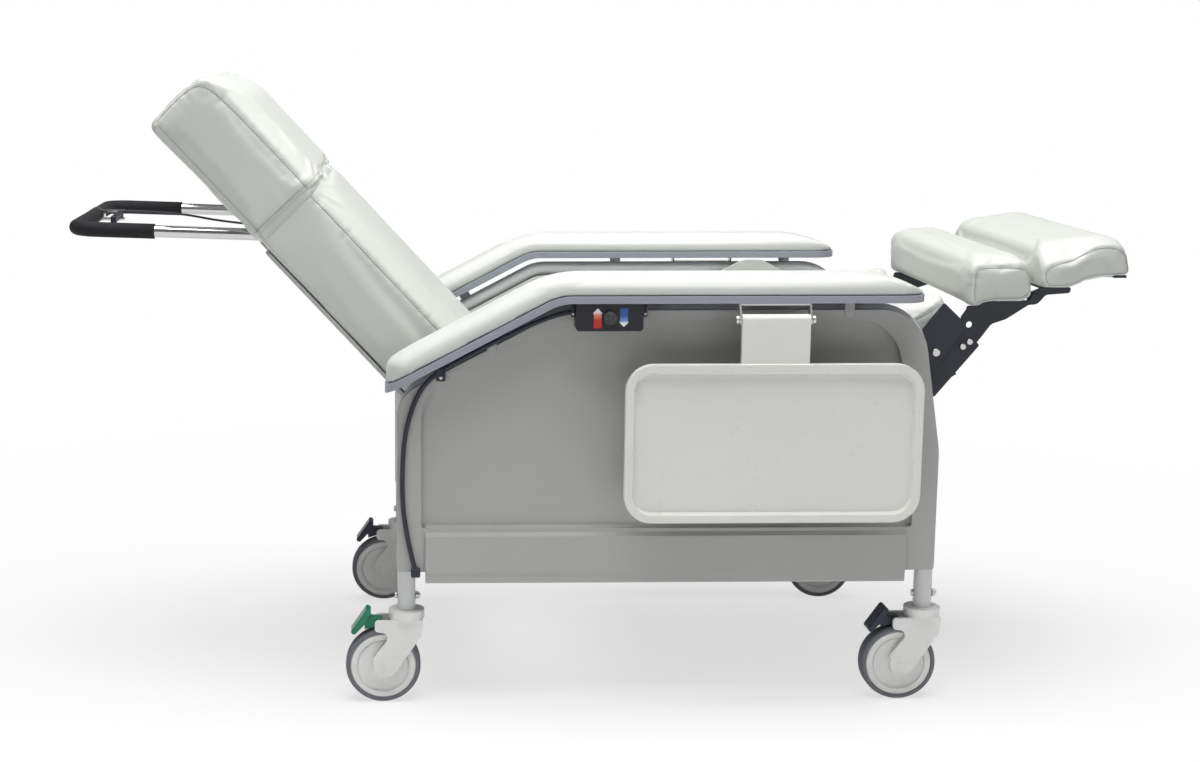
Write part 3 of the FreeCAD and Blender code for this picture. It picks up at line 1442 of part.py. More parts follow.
ARM_THICK = dim.swing_plate_y - dim.leg_arm_y - dim.seat_gap
PAD_SEAT = dim.calf_bottom_z - dim.seat_gap
right_arm = prism(
    "legrest_arm",
    "XZ_Plane",
    (
        (BOLT_A[0] - 9, BOLT_A[1] - 5, 5),
        (BOLT_B[0] + 10, BOLT_B[1] - 8, 5),
        (dim.legrest_x + 94, dim.legrest_z + 46, 14),
        (dim.legrest_x + 118, dim.legrest_z + 54, 20),
        (dim.foot_x - 8, dim.foot_z - 10, 10),
        (dim.foot_x + 9, dim.foot_z - 9, 8),
        (dim.foot_x + 9, dim.foot_z + 9, 7),
        (dim.foot_x - 2, dim.foot_z + 9, 4),
        (dim.foot_x - 7, PAD_SEAT, 3),
        (dim.calf_rear_x + 32, PAD_SEAT, 3),
        (dim.calf_rear_x + 22, PAD_SEAT - 9, 3),
        (dim.calf_rear_x + 7, PAD_SEAT - 9, 3),
        (dim.calf_rear_x + 5, PAD_SEAT - 16, 4),
        (dim.legrest_x + 43, dim.legrest_z + 58, 4),
        (dim.legrest_x + 44, dim.legrest_z + 33, 6),
        (BOLT_A[0] - 10, BOLT_A[1] + 8, 5),
    ),
    ARM_THICK,
    y=-dim.leg_arm_y,
    holes=(
        (*BOLT_A, dim.small_bolt_dia + dim.run_gap),
        (*BOLT_B, dim.small_bolt_dia + dim.run_gap),
        (dim.legrest_x + 57, dim.legrest_z + 45, 11),
    ),
)
left_arm = mirrored("legrest_arm_left", right_arm)
CROSS_X = dim.calf_rear_x + 34
cross_bar = box("legrest_cross", 42, 2 * dim.leg_arm_y, 10, CROSS_X, -dim.leg_arm_y, PAD_SEAT - 10)
foot_pins = []
PIN_REACH = 12
PIN_STARTS = {
    "right": -dim.leg_arm_y - ARM_THICK,
    "left": dim.leg_arm_y + ARM_THICK - PIN_REACH,
}
for side, start in PIN_STARTS.items():
    pin_name = f"foot_pin_{side}"
    foot_pins.append(
        cylinder(pin_name, dim.foot_pin_dia, PIN_REACH, dim.foot_x, start, dim.foot_z, "y")
    )
legrest = fuse("legrest_frame", right_arm, left_arm, cross_bar, *foot_pins)
sub_part("legrest_frame", legrest)

arm_bolts = []
for bolt_name, (bolt_x, bolt_z) in (("a", BOLT_A), ("b", BOLT_B)):
    length = dim.swing_plate_y + dim.plate_thick - dim.leg_arm_y + 4
    start = -dim.swing_plate_y - dim.plate_thick - 2
    shank = cylinder(f"arm_bolt_shank_{bolt_name}", dim.small_bolt_dia, length, bolt_x, start, bolt_z, "y")
    head_y = -dim.swing_plate_y - dim.plate_thick - dim.seat_gap - 4
    head = cylinder(f"arm_bolt_head_{bolt_name}", dim.small_bolt_dia + 4, 4, bolt_x, head_y, bolt_z, "y")
    bolt = fuse(f"arm_bolt_{bolt_name}", shank, head)
    arm_bolts += [bolt, mirrored(f"arm_bolt_{bolt_name}_left", bolt)]
sub_part("legrest_bolts", group("legrest_bolts", *arm_bolts))


def shrunk(corners, inset):
    """The same side outline a little smaller all round."""
    middle_x = sum(x for x, z, radius in corners) / len(corners)
    middle_z = sum(z for x, z, radius in corners) / len(corners)
    reach = max(abs(x - middle_x) for x, z, radius in corners)
    share = 1 - inset / reach
    return [
        (middle_x + (x - middle_x) * share, middle_z + (z - middle_z) * share, radius * share)
        for x, z, radius in corners
    ]


def crosswise_pad(end_corners, full_corners):
    """A pad across the chair: its side outline swells from both ends to the full one."""
    half = num.pad_half_width
    tip = shrunk(end_corners, num.pad_end_round)
    stations = [
        (half, tip),
        (half - num.pad_end_round, end_corners),
        (half - num.pad_shoulder, full_corners),
    ]
    stations += [(-y, corners) for y, corners in reversed(stations)]
    return Part.makeLoft([upright_face(corners, y).OuterWire for y, corners in stations], True, True)


calf_floor = (
    (num.calf_front_x, num.calf_bottom_z + 10, 10),
    (num.calf_front_x - 12, num.calf_bottom_z, 6),
    (num.calf_rear_x + 30, num.calf_bottom_z, 10),
    (num.calf_rear_x + 20, num.calf_bottom_z - 8, 6),
)
CALF_EDGE = num.calf_top_z - num.pad_swell
calf_end = (
    (num.calf_rear_x + 2, num.calf_bottom_z - 9, 8),
    (num.calf_rear_x, CALF_EDGE - 2, 20),
    (num.calf_front_x - 6, CALF_EDGE + 1, 20),
    *calf_floor,
)
calf_full = (
    (num.calf_rear_x + 2, num.calf_bottom_z - 9, 8),
    (num.calf_rear_x, num.calf_top_z - 2, 22),
    (num.calf_front_x - 6, num.calf_top_z, 22),
    *calf_floor,
)
sub_part("calf_pad", feature("calf_pad", crosswise_pad(calf_end, calf_full)))

# Foot pad on its own bracket

FOOT_BAR_Y = dim.leg_arm_y - dim.seat_gap
FOOT_BAR = 5
FOOT_PLATE = 4
FOOT_RISE = 19
FOOT_SEAT = dim.foot_z + FOOT_RISE - dim.seat_gap
right_foot_bar = prism(
    "foot_bar",
    "XZ_Plane",
    (
        (dim.foot_x - 9, dim.foot_z - 9, 8),
        (dim.foot_x + 9, dim.foot_z - 9, 8),
        (dim.foot_x + 22, dim.foot_z + 6, 10),
        (dim.foot_x + 62, dim.foot_z + 9, 5),
        (dim.foot_x + 64, FOOT_SEAT, 3),
        (dim.foot_x + 14, FOOT_SEAT, 4),
        (dim.foot_x - 9, dim.foot_z + 9, 8),
    ),
    FOOT_BAR,
    y=-FOOT_BAR_Y + FOOT_BAR,
    holes=((dim.foot_x, dim.foot_z, dim.foot_pin_dia + dim.run_gap),),
)
left_foot_bar = mirrored("foot_bar_left", right_foot_bar)
foot_plate = box(
    "foot_plate",
    42,
    2 * (FOOT_BAR_Y - 1),
    FOOT_PLATE,
    dim.foot_x + 16,
    1 - FOOT_BAR_Y,
    FOOT_SEAT - FOOT_PLATE,
)
sub_part("foot_bracket", fuse("foot_bracket", right_foot_bar, left_foot_bar, foot_plate))

FOOT_UNDER = num.foot_z + FOOT_RISE
foot_floor = (
    (num.foot_x + 112, FOOT_UNDER + 19, 30),
    (num.foot_x + 76, FOOT_UNDER + 14, 20),
    (num.foot_x + 56, FOOT_UNDER, 14),
)
foot_end = (
    (num.foot_x + 4, FOOT_UNDER + 1, 8),
    (num.foot_x + 4, FOOT_UNDER + 45, 18),
    (num.foot_x + 60, FOOT_UNDER + 55, 50),
    (num.foot_x + 92, FOOT_UNDER + 76, 50),
    (num.foot_x + 142, FOOT_UNDER + 75, 26),
    (num.foot_x + 156, FOOT_UNDER + 19, 8),
    *foot_floor,
)
foot_full = (
    (num.foot_x + 3, FOOT_UNDER + 1, 8),
    (num.foot_x + 3, FOOT_UNDER + 71, 22),
    (num.foot_x + 60, FOOT_UNDER + 78, 60),
    (num.foot_x + 100, FOOT_UNDER + 83, 60),
    (num.foot_x + 146, FOOT_UNDER + 84, 30),
    (num.foot_x + 163, FOOT_UNDER + 19, 10),
    *foot_floor,
)
sub_part("foot_pad", feature("foot_pad", crosswise_pad(foot_end, foot_full)))

# Back: push handle tube that carries the back, rear board, cushion, head cover

UP = Vector(-math.cos(math.radians(num.back_angle)), 0, math.sin(math.radians(num.back_angle)))
FRONT = Vector(math.sin(math.radians(num.back_angle)), 0, math.cos(math.radians(num.back_angle)))
HINGE = Vector(num.back_hinge_x, 0, num.back_hinge_z)
BACK_TURN = Rotation(UP, Vector(0, -1, 0), FRONT, "ZXY")
BACK_PLACE = Placement(HINGE, BACK_TURN)


def on_back(up, front, y=0):
    """A point from heights above and in front of the back hinge."""
    return HINGE + UP * up + FRONT * front + Vector(0, y, 0)


def handle_points(side):
    foot = on_back(0, HANDLE_PLANE.value, side * num.handle_y)
    knee = on_back(num.handle_knee, HANDLE_PLANE.value, side * num.handle_y)
    corner = Vector(num.handle_rear_x, side * num.handle_y, num.handle_z)
    return [(foot, 0), (knee, num.knee_bend), (corner, num.handle_bend)]


HANDLE_ROUTE = handle_points(-1) + handle_points(1)[::-1]
EAR_THICK = 6
LUG_LENGTH = 24


def hinge_ear(side):
    """Plate at the lower end of the handle tube, with the hinge bore."""
    rear = HANDLE_PLANE.value - 8
    corners = ((-22, rear), (70, rear), (70, rear + 18), (8, 22), (-22, 22))
    y = side * (num.ear_y + EAR_THICK / 2)
    points = [(on_back(up, front, y - EAR_THICK / 2), 8) for up, front in corners]
    face = Part.Face(Part.Wire(rounded_edges(points, closed=True)))
    plate = face.extrude(Vector(0, EAR_THICK, 0))
    bore_radius = (num.back_pin_dia + num.run_gap) / 2
    bore_start = HINGE + Vector(0, y - 1.5 * EAR_THICK, 0)
    bore = Part.makeCylinder(bore_radius, 3 * EAR_THICK, bore_start, Vector(0, 1, 0))
    return plate.cut(bore)


def lever_lug():
    """Clamp on the cross bar with two cheeks and the pin of the release lever."""
    y = num.lever_y - LUG_LENGTH / 2
    z = num.handle_z
    ring = Part.makeCylinder(
        num.grip_dia / 2 + 1, LUG_LENGTH, Vector(num.handle_rear_x, y, z), Vector(0, 1, 0)
    )
    reach = num.lever_x + 9 - num.handle_rear_x
    cheeks = Part.makeBox(reach, LUG_LENGTH, 18, Vector(num.handle_rear_x, y, z - 9))
    slot_low = num.handle_rear_x + num.grip_dia / 2 + 3
    slot = Part.makeBox(reach, LUG_LENGTH + 2, 11.4, Vector(slot_low, y - 1, z - 5.7))
    pin = Part.makeCylinder(num.lever_pin_dia / 2, 16, Vector(num.lever_x, num.lever_y, z - 8))
    return ring.fuse(cheeks).cut(slot).fuse(pin)


def back_frame():
    tube = pipe(HANDLE_ROUTE, num.handle_dia)
    return tube.multiFuse([hinge_ear(-1), hinge_ear(1), lever_lug()]).removeSplitter()


sub_part("push_handle_frame", feature("push_handle_frame", back_frame()))


def handle_grip():
    knee = on_back(num.handle_knee, HANDLE_PLANE.value, 0)
    share = (num.grip_front_x - num.handle_rear_x) / (knee.x - num.handle_rear_x)
    front_z = num.handle_z + share * (knee.z - num.handle_z)
    points = []
    for side in (-1, 1):
        end = (Vector(num.grip_front_x, side * num.handle_y, front_z), 0)
        corner = (Vector(num.handle_rear_x, side * num.handle_y, num.handle_z), num.handle_bend)
        points += [end, corner] if side < 0 else [corner, end]
    sleeve = pipe(points, num.grip_dia).cut(pipe(points, num.handle_dia + num.run_gap))
    gap = Part.makeBox(
        2 * num.grip_dia,
        LUG_LENGTH + 2 * num.seat_gap,
        2 * num.grip_dia,
        Vector(
            num.handle_rear_x - num.grip_dia,
            num.lever_y - LUG_LENGTH / 2 - num.seat_gap,
            num.handle_z - num.grip_dia,
        ),
    )
    return sleeve.cut(gap)


sub_part("handle_grip", feature("handle_grip", handle_grip()))

BLADE_HEIGHT = dim.lever_pin_dia + 5
blade_tip = dim.lever_y - dim.lever_blade
blade_x = dim.lever_x
lever = prism(
    "release_lever",
    "XY_Plane",
    (
        (blade_x - 7, dim.lever_y + 7, 6),
        (blade_x - 5, dim.lever_y - 20, 0),
        (blade_x - 3, blade_tip + 6, 4),
        (blade_x + 2, blade_tip, 2),
        (blade_x + 7, blade_tip + 4, 2),
        (blade_x + 4, dim.lever_y - 24, 0),
        (blade_x + 7, dim.lever_y + 7, 6),
    ),
    BLADE_HEIGHT,
    z=dim.handle_z - BLADE_HEIGHT / 2,
    holes=((blade_x, dim.lever_y, dim.lever_pin_dia + dim.run_gap),),
)
sub_part("release_lever", lever)

LUG_FRONT = num.lever_x + 9 + num.seat_gap
RELEASE_END = on_back(num.hood_low + 4, num.back_rear - num.hood_proud - 2, 12)
release_spots = [
    Vector(LUG_FRONT, num.lever_y, num.handle_z + 7),
    Vector(-790, 38, num.handle_z + 6),
    Vector(-727, 29, num.handle_z + 3),
    Vector(-650, 19, num.handle_z - 11),
    RELEASE_END,
]
sub_part("release_cable", cord("release_cable", release_spots, num.release_cable_dia))

BOARD_HALF = dim.back_half_width - 8
NOTCH_LOW = 632
notch_inner = dim.handle_y - dim.handle_dia / 2 - 4
notch_outer = dim.handle_y + dim.handle_dia / 2 + 4
board_corners = [(20, -BOARD_HALF, 12), (NOTCH_LOW + 30, -BOARD_HALF, 12)]
board_corners += [(NOTCH_LOW + 30, -notch_outer, 0)]
board_corners += [(NOTCH_LOW, -notch_outer, 4), (NOTCH_LOW, -notch_inner, 4)]
board_corners += [(dim.board_top, -notch_inner, 10)]
board_corners += [(u, -v, r) for u, v, r in reversed(board_corners)]
board = prism("back_board", "XY_Plane", board_corners, dim.board_thick)
doc.recompute()
board_rear = num.back_rear - num.board_thick - num.seat_gap
for axis in "xyz":
    board.setExpression("Placement.Base." + axis, None)
board.Placement = Placement(on_back(0, board_rear), BACK_TURN)
sub_part("back_board", board)

GROOVE_GAP = 0.4


def handle_grooves(low, high):
    """Channels in the rear of the padding for the handle tube and its ears."""
    width = num.handle_dia + 2 * GROOVE_GAP
    depth = HANDLE_PLANE.value + num.handle_dia / 2 + GROOVE_GAP - (num.back_rear - 20)
    blocks = []
    for side in (-1, 1):
        corner = Vector(low, side * num.handle_y - width / 2, num.back_rear - 20)
        blocks.append(Part.makeBox(high - low, width, depth, corner))
        ear_y = side * (num.ear_y + EAR_THICK / 2)
        ear_width = EAR_THICK + 2 * GROOVE_GAP
        corner = Vector(low - 1, ear_y - ear_width / 2, num.back_rear - 20)
        blocks.append(Part.makeBox(76 - low, ear_width, 92, corner))
    return blocks


def back_padding():
    pad = cushion(
        num.back_low,
        num.hood_low - num.seat_gap,
        num.back_half_width,
        num.back_rear,
        num.back_seam,
        num.back_crown,
        16,
        4,
        high_draw=0,
    )
    for block in handle_grooves(num.back_low - 1, num.hood_low + 1):
        pad = pad.cut(block)
    return pad


sub_part("back_cushion", feature("back_cushion", back_padding(), BACK_PLACE))


HEAD_CROWN = num.back_crown - 4


def head_cover():
    pad = cushion(
        num.hood_low,
        num.back_top,
        num.back_half_width + num.hood_proud,
        num.back_rear - num.hood_proud,
        num.back_seam + num.hood_proud,
        HEAD_CROWN,
        16,
        4,
        low_draw=0,
    )
    top = num.back_seam + num.hood_proud + HEAD_CROWN
    brow = (
        (num.back_top - 126, top, 0),
        (num.back_top - 51, top, 150),
        (num.back_top + 14, top - 42, 0),
        (num.back_top + 14, top + 4, 0),
        (num.back_top - 126, top + 4, 0),
    )
    pad = pad.cut(side_slab(brow, -num.back_half_width - 20, num.back_half_width + 20))
    width = num.handle_dia + 2 * GROOVE_GAP
    depth = HANDLE_PLANE.value + num.handle_dia / 2 + GROOVE_GAP - (num.back_rear - 20)
    for side in (-1, 1):
        corner = Vector(num.hood_low - 1, side * num.handle_y - width / 2, num.back_rear - 20)
        pad = pad.cut(Part.makeBox(44, width, depth, corner))
    return pad


sub_part("head_cushion", feature("head_cushion", head_cover(), BACK_PLACE))

# Check every object, then write each sub-part

doc.recompute()
for thing in doc.Objects:
    if "Invalid" in thing.State or "Error" in thing.State:
        raise RuntimeError(f"{thing.Label} failed: {thing.State}")
labels = [thing.Label for thing in SUB_PARTS]
if len(set(labels)) != len(labels):
    raise RuntimeError("two sub-parts share a label")
for thing in SUB_PARTS:
    if thing.Shape.isNull() or not thing.Shape.isValid() or not thing.Shape.Solids:
        raise RuntimeError(f"{thing.Label} has no valid solid")
os.makedirs("parts", exist_ok=True)
for thing in SUB_PARTS:
    thing.Shape.exportStep(os.path.join("parts", thing.Label + ".step"))
    print(f"{thing.Label}: {len(thing.Shape.Solids)} solid, {thing.Shape.Volume / 1000:.1f} cm3")
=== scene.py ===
import json
import math

import bmesh
import bpy
from mathutils import Matrix, Vector
from mathutils.bvhtree import BVHTree
from mathutils.kdtree import KDTree

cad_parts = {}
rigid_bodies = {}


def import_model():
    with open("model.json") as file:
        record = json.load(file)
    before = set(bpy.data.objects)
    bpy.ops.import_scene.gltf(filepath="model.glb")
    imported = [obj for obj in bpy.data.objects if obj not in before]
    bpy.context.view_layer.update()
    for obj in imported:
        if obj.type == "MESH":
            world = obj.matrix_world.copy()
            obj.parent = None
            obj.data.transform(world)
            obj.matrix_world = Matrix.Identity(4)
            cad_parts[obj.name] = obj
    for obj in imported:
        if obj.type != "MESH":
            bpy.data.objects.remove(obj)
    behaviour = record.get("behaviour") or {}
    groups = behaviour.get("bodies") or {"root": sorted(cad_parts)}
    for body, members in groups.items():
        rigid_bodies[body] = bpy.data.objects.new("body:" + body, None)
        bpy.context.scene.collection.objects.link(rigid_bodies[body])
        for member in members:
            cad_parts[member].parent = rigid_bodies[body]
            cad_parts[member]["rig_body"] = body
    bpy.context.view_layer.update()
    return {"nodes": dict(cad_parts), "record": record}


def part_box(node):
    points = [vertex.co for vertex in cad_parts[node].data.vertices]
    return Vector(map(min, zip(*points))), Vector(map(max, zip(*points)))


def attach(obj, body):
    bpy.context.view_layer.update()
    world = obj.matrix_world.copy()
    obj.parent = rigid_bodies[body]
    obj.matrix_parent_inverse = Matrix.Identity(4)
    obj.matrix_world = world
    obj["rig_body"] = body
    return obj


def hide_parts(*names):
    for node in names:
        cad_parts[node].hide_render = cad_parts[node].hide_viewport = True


# Looks of a rolling clinical recliner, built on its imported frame, in metres.

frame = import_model()
nodes = frame["nodes"]
scene = bpy.context.scene

MM = 0.001
SIDES = {"right": -1, "left": 1}
ACROSS = Vector((0, 1, 0))


# Shader values and finishes


class Value:
    """A shader socket that takes part in Python arithmetic."""

    def __init__(self, finish, socket):
        self.finish = finish
        self.socket = socket

    def math(self, operation, first, second=0.0):
        return self.finish.add("ShaderNodeMath", {"operation": operation}, {0: first, 1: second})

    def __add__(self, other):
        return self.math("ADD", self, other)

    def __radd__(self, other):
        return self.math("ADD", other, self)

    def __sub__(self, other):
        return self.math("SUBTRACT", self, other)

    def __rsub__(self, other):
        return self.math("SUBTRACT", other, self)

    def __mul__(self, other):
        return self.math("MULTIPLY", self, other)

    def __rmul__(self, other):
        return self.math("MULTIPLY", other, self)

    def most(self, other):
        return self.math("MAXIMUM", self, other)


class Finish:
    """One procedural material on Object coordinates."""

    def __init__(self, name):
        self.material = bpy.data.materials.new(name)
        self.material.use_nodes = True
        self.tree = self.material.node_tree
        self.shader = self.tree.nodes["Principled BSDF"]
        self.place = self.add("ShaderNodeTexCoord", output="Object")

    def add(self, kind, settings=None, sockets=None, output=0):
        """A node of that type, its settings made first, then its sockets; gives one output."""
        node = self.tree.nodes.new(kind)
        for key, value in (settings or {}).items():
            if key == "stops":
                set_stops(node.color_ramp, value)
            else:
                setattr(node, key, value)
        for key, value in (sockets or {}).items():
            self.feed(node.inputs[key], value)
        return Value(self, node.outputs[output])

    def feed(self, socket, value):
        if isinstance(value, Value):
            self.tree.links.new(value.socket, socket)
        else:
            socket.default_value = value

    def set(self, **sockets):
        """Feeds the shader; a socket's name has underscores for spaces."""
        for name, value in sockets.items():
            self.feed(self.shader.inputs[name.replace("_", " ")], value)

    def noise(self, scale, detail=3.0, roughness=0.5):
        sockets = {"Vector": self.place, "Scale": scale, "Detail": detail, "Roughness": roughness}
        return self.add("ShaderNodeTexNoise", None, sockets)

    def cells(self, scale, feature="F1"):
        sockets = {"Vector": self.place, "Scale": scale}
        return self.add("ShaderNodeTexVoronoi", {"feature": feature}, sockets, "Distance")

    def mix(self, factor, first, second):
        sockets = {0: factor, 6: first, 7: second}
        return self.add("ShaderNodeMix", {"data_type": "RGBA"}, sockets, 2)

    def ramp(self, factor, stops):
        return self.add("ShaderNodeValToRGB", {"stops": stops}, {0: factor})

    def bump(self, height, depth, strength=1.0, after=None):
        sockets = {"Height": height, "Distance": depth, "Strength": strength}
        if after:
            sockets["Normal"] = after
        return self.add("ShaderNodeBump", None, sockets, "Normal")

    def axis(self, name):
        return self.add("ShaderNodeSeparateXYZ", None, {0: self.place}, name)


def set_stops(ramp, stops):
    while len(ramp.elements) < len(stops):
        ramp.elements.new(0.5)
    for element, (position, colour) in zip(ramp.elements, stops):
        element.position = position
        element.color = colour


def tint(colour, share=1.0):
    return (*[channel * share for channel in colour], 1.0)


def vinyl(name, colour, grain=900.0):
    """Upholstery vinyl: fine leather grain, faint clouding, soft gloss."""
    finish = Finish(name)
    cloud = finish.noise(9.0, 2.0)
    fine = finish.cells(grain)
    pores = finish.noise(grain * 0.6, 2.0)
    relief = finish.bump(fine * 0.6 + pores * 0.5, 0.00025, 0.45)
    soft_waves = finish.noise(38.0, 2.0)
    finish.set(
        Base_Color=finish.mix(cloud, tint(colour, 0.96), tint(colour, 1.02)),
        Roughness=0.38 + 0.14 * pores,
        Normal=finish.bump(soft_waves, 0.0008, 0.25, after=relief),
        Specular_IOR_Level=0.42,
    )
    return finish.material


def moulded(name, colour, roughness=0.45, pebble=520.0, depth=0.0002, gloss=0.4):
    """Moulded plastic: pebbled skin, slight tone drift, faint scuffs."""
    finish = Finish(name)
    drift = finish.noise(6.0, 2.0)
    skin = finish.cells(pebble)
    scuff = finish.noise(70.0, 5.0, 0.7)
    marks = (scuff - 0.56) * 2.4
    finish.set(
        Base_Color=finish.mix(drift, tint(colour, 0.96), tint(colour, 1.03)),
        Roughness=finish.add("ShaderNodeClamp", None, {0: roughness + marks * 0.18, 1: 0.2, 2: 0.9}),
        Normal=finish.bump(skin, depth, 0.5),
        Specular_IOR_Level=gloss,
    )
    return finish.material


def enamel(name, colour, roughness=0.32, peel=260.0):
    """Powder-coated steel: orange-peel skin, small tone drift."""
    finish = Finish(name)
    drift = finish.noise(14.0, 2.0)
    skin = finish.noise(peel, 2.0)
    finish.set(
        Base_Color=finish.mix(drift, tint(colour, 0.9), tint(colour, 1.06)),
        Roughness=roughness + 0.16 * skin,
        Normal=finish.bump(skin, 0.0003, 0.35),
        Specular_IOR_Level=0.5,
    )
    return finish.material


def bright_metal(name, colour, roughness, streak=0.0):
    """Plated metal: faint clouding, and a fine grain where streak is set."""
    finish = Finish(name)
    cloud = finish.noise(40.0, 4.0)
    grain = finish.noise(900.0, 2.0)
    finish.set(
        Base_Color=finish.mix(cloud, tint(colour, 0.92), tint(colour, 1.0)),
        Metallic=1.0,
        Roughness=roughness + 0.10 * cloud + streak * grain,
        Normal=finish.bump(grain, 0.00004, 0.3),
    )
    return finish.material


def rubber(name, colour, roughness=0.72, grain=700.0):
    """Rubber or closed foam: matte open grain with a little dust."""
    finish = Finish(name)
    dust = finish.noise(30.0, 4.0)
    skin = finish.cells(grain)
    finish.set(
        Base_Color=finish.mix(dust, tint(colour, 0.9), tint(colour, 1.25)),
        Roughness=roughness + 0.12 * dust,
        Normal=finish.bump(skin, 0.0003, 0.5),
        Specular_IOR_Level=0.3,
    )
    return finish.material


def arrow_print(name, tail_z, head_z, deep, light):
    """Printed arrow: its colour pales towards a white head, with a faint speckle."""
    finish = Finish(name)
    share = (finish.axis("Z") - tail_z) * (1.0 / (head_z - tail_z))
    speck = finish.noise(700.0, 2.0)
    white = (0.82, 0.82, 0.82, 1.0)
    stops = ((0.0, tint(deep)), (0.45, tint(deep)), (0.72, tint(light)), (0.82, white))
    finish.set(
        Base_Color=finish.ramp(share + 0.05 * speck, stops),
        Roughness=0.35 + 0.1 * speck,
        Specular_IOR_Level=0.4,
    )
    return finish.material


PALE_VINYL = (0.565, 0.585, 0.55)
ARM_VINYL = (0.60, 0.615, 0.59)
# The seam folds are the pale vinyl made darker: painted shade of the seam grooves.
SEAM_SHADE_VINYL = (0.40, 0.415, 0.39)
THREAD = (0.68, 0.70, 0.66)
SHADE_VINYL = (0.42, 0.435, 0.42)
FINISHES = {
    "vinyl": vinyl("pale_vinyl", PALE_VINYL),
    "arm_vinyl": vinyl("armrest_vinyl", ARM_VINYL),
    "arm_board": moulded("armrest_board", (0.31, 0.325, 0.37), 0.42, 480.0, 0.00015),
    "panel_grey": moulded("panel_skin", (0.42, 0.42, 0.41), 0.50, 420.0, 0.00028),
    "tray_white": moulded("tray_skin", (0.74, 0.745, 0.71), 0.36, 600.0, 0.0001),
    "frame_paint": enamel("frame_enamel", (0.68, 0.685, 0.69)),
    "zinc": bright_metal("bright_zinc", (0.72, 0.71, 0.68), 0.28, 0.08),
    "chrome_tube": bright_metal("handle_chrome", (0.64, 0.64, 0.65), 0.12),
    "dark_steel": enamel("dark_enamel", (0.016, 0.020, 0.030), 0.40),
    "grip_foam": rubber("grip_foam", (0.014, 0.014, 0.017)),
    "control_plastic": moulded("control_skin", (0.013, 0.014, 0.020), 0.40, 700.0, 0.0001),
    "knob": moulded("knob_skin", (0.050, 0.052, 0.058), 0.28, 700.0, 0.0001),
    "cable_sheath": moulded("cable_sheath", (0.022, 0.027, 0.040), 0.42, 900.0, 0.00008),
    "caster_white": moulded("caster_skin", (0.80, 0.80, 0.78), 0.34, 800.0, 0.00008),
    "caster_tyre": rubber("caster_tread", (0.16, 0.17, 0.19)),
    "pedal_green": moulded("green_pedal", (0.010, 0.20, 0.105), 0.34, 800.0, 0.00008),
    "pedal_dark": moulded("dark_pedal", (0.018, 0.022, 0.040), 0.34, 800.0, 0.00008),
    "board_grey": vinyl("board_vinyl", SHADE_VINYL),
    # Darker copy of the pale vinyl for the seam folds: painted shade.
    "seam": vinyl("seam_shaded_vinyl", SEAM_SHADE_VINYL, 1400.0),
    "thread": rubber("stitch_thread", THREAD, 0.6, 1600.0),
}
SLOT_OF = {row["node"]: row["material_slot"] for row in frame["record"]["subparts"]}
for node_name, slot_name in SLOT_OF.items():
    skin = nodes[node_name].data.materials
    skin.clear()
    skin.append(FINISHES[slot_name])


def piece(name, mesh, body, slot, finish=None):
    """A finished mesh as an object that rides on a body."""
    made = bpy.data.objects.new(name, mesh)
    scene.collection.objects.link(made)
    mesh.materials.clear()
    mesh.materials.append(finish or FINISHES[slot])
    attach(made, body)
    return made


def mesh_of(name, shape, smooth=True):
    """Ends a bmesh and gives its mesh."""
    mesh = bpy.data.meshes.new(name)
    for face in shape.faces:
        face.smooth = smooth
    shape.to_mesh(mesh)
    shape.free()
    return mesh


# Camera at the photograph's angle

PHOTO_WIDTH = 1200
FOCAL_PIXELS = 1960.9
OPTICAL_CENTRE_PIXEL = 421.8
CAMERA_SPOT = (-0.3606, -3.465, 1.0955)
CAMERA_YAW = math.radians(1.0)
CAMERA_PITCH = math.radians(9.92)


def photo_camera():
    lens = bpy.data.cameras.new("photo_view")
    lens.sensor_width = 36.0
    lens.lens = lens.sensor_width * FOCAL_PIXELS / PHOTO_WIDTH
    lens.shift_x = (PHOTO_WIDTH / 2 - OPTICAL_CENTRE_PIXEL) / PHOTO_WIDTH
    camera = bpy.data.objects.new("photo_view", lens)
    heading = Vector(
        (
            math.sin(CAMERA_YAW) * math.cos(CAMERA_PITCH),
            math.cos(CAMERA_YAW) * math.cos(CAMERA_PITCH),
            -math.sin(CAMERA_PITCH),
        )
    )
    camera.location = CAMERA_SPOT
    camera.rotation_mode = "QUATERNION"
    camera.rotation_quaternion = heading.to_track_quat("-Z", "Y")
    scene.collection.objects.link(camera)
    scene.camera = camera


photo_camera()

# Cords: the control cable round the panel, the release cable to the lever


def nurbs(name, points, thickness=0.0):
    """A smooth open spline with these control points."""
    line = bpy.data.curves.new(name, "CURVE")
    line.dimensions = "3D"
    line.resolution_u = 16
    line.bevel_depth = thickness / 2
    line.bevel_resolution = 5
    line.use_fill_caps = True
    spline = line.splines.new("NURBS")
    spline.points.add(len(points) - 1)
    for knot, spot in zip(spline.points, points):
        knot.co = (*spot, 1.0)
    spline.order_u = 3
    spline.use_endpoint_u = True
    holder = bpy.data.objects.new(name, line)
    scene.collection.objects.link(holder)
    return holder


def cable(name, node, points, diameter, body):
    spots = [Vector(point) * MM for point in points]
    line = nurbs(name, spots, diameter)
    line.data.materials.append(FINISHES["cable_sheath"])
    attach(line, body)
    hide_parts(node)


CONTROL_CABLE_DIAMETER = 0.008
CONTROL_CABLE_Y = (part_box("control_cable")[0][1] + CONTROL_CABLE_DIAMETER / 2) / MM
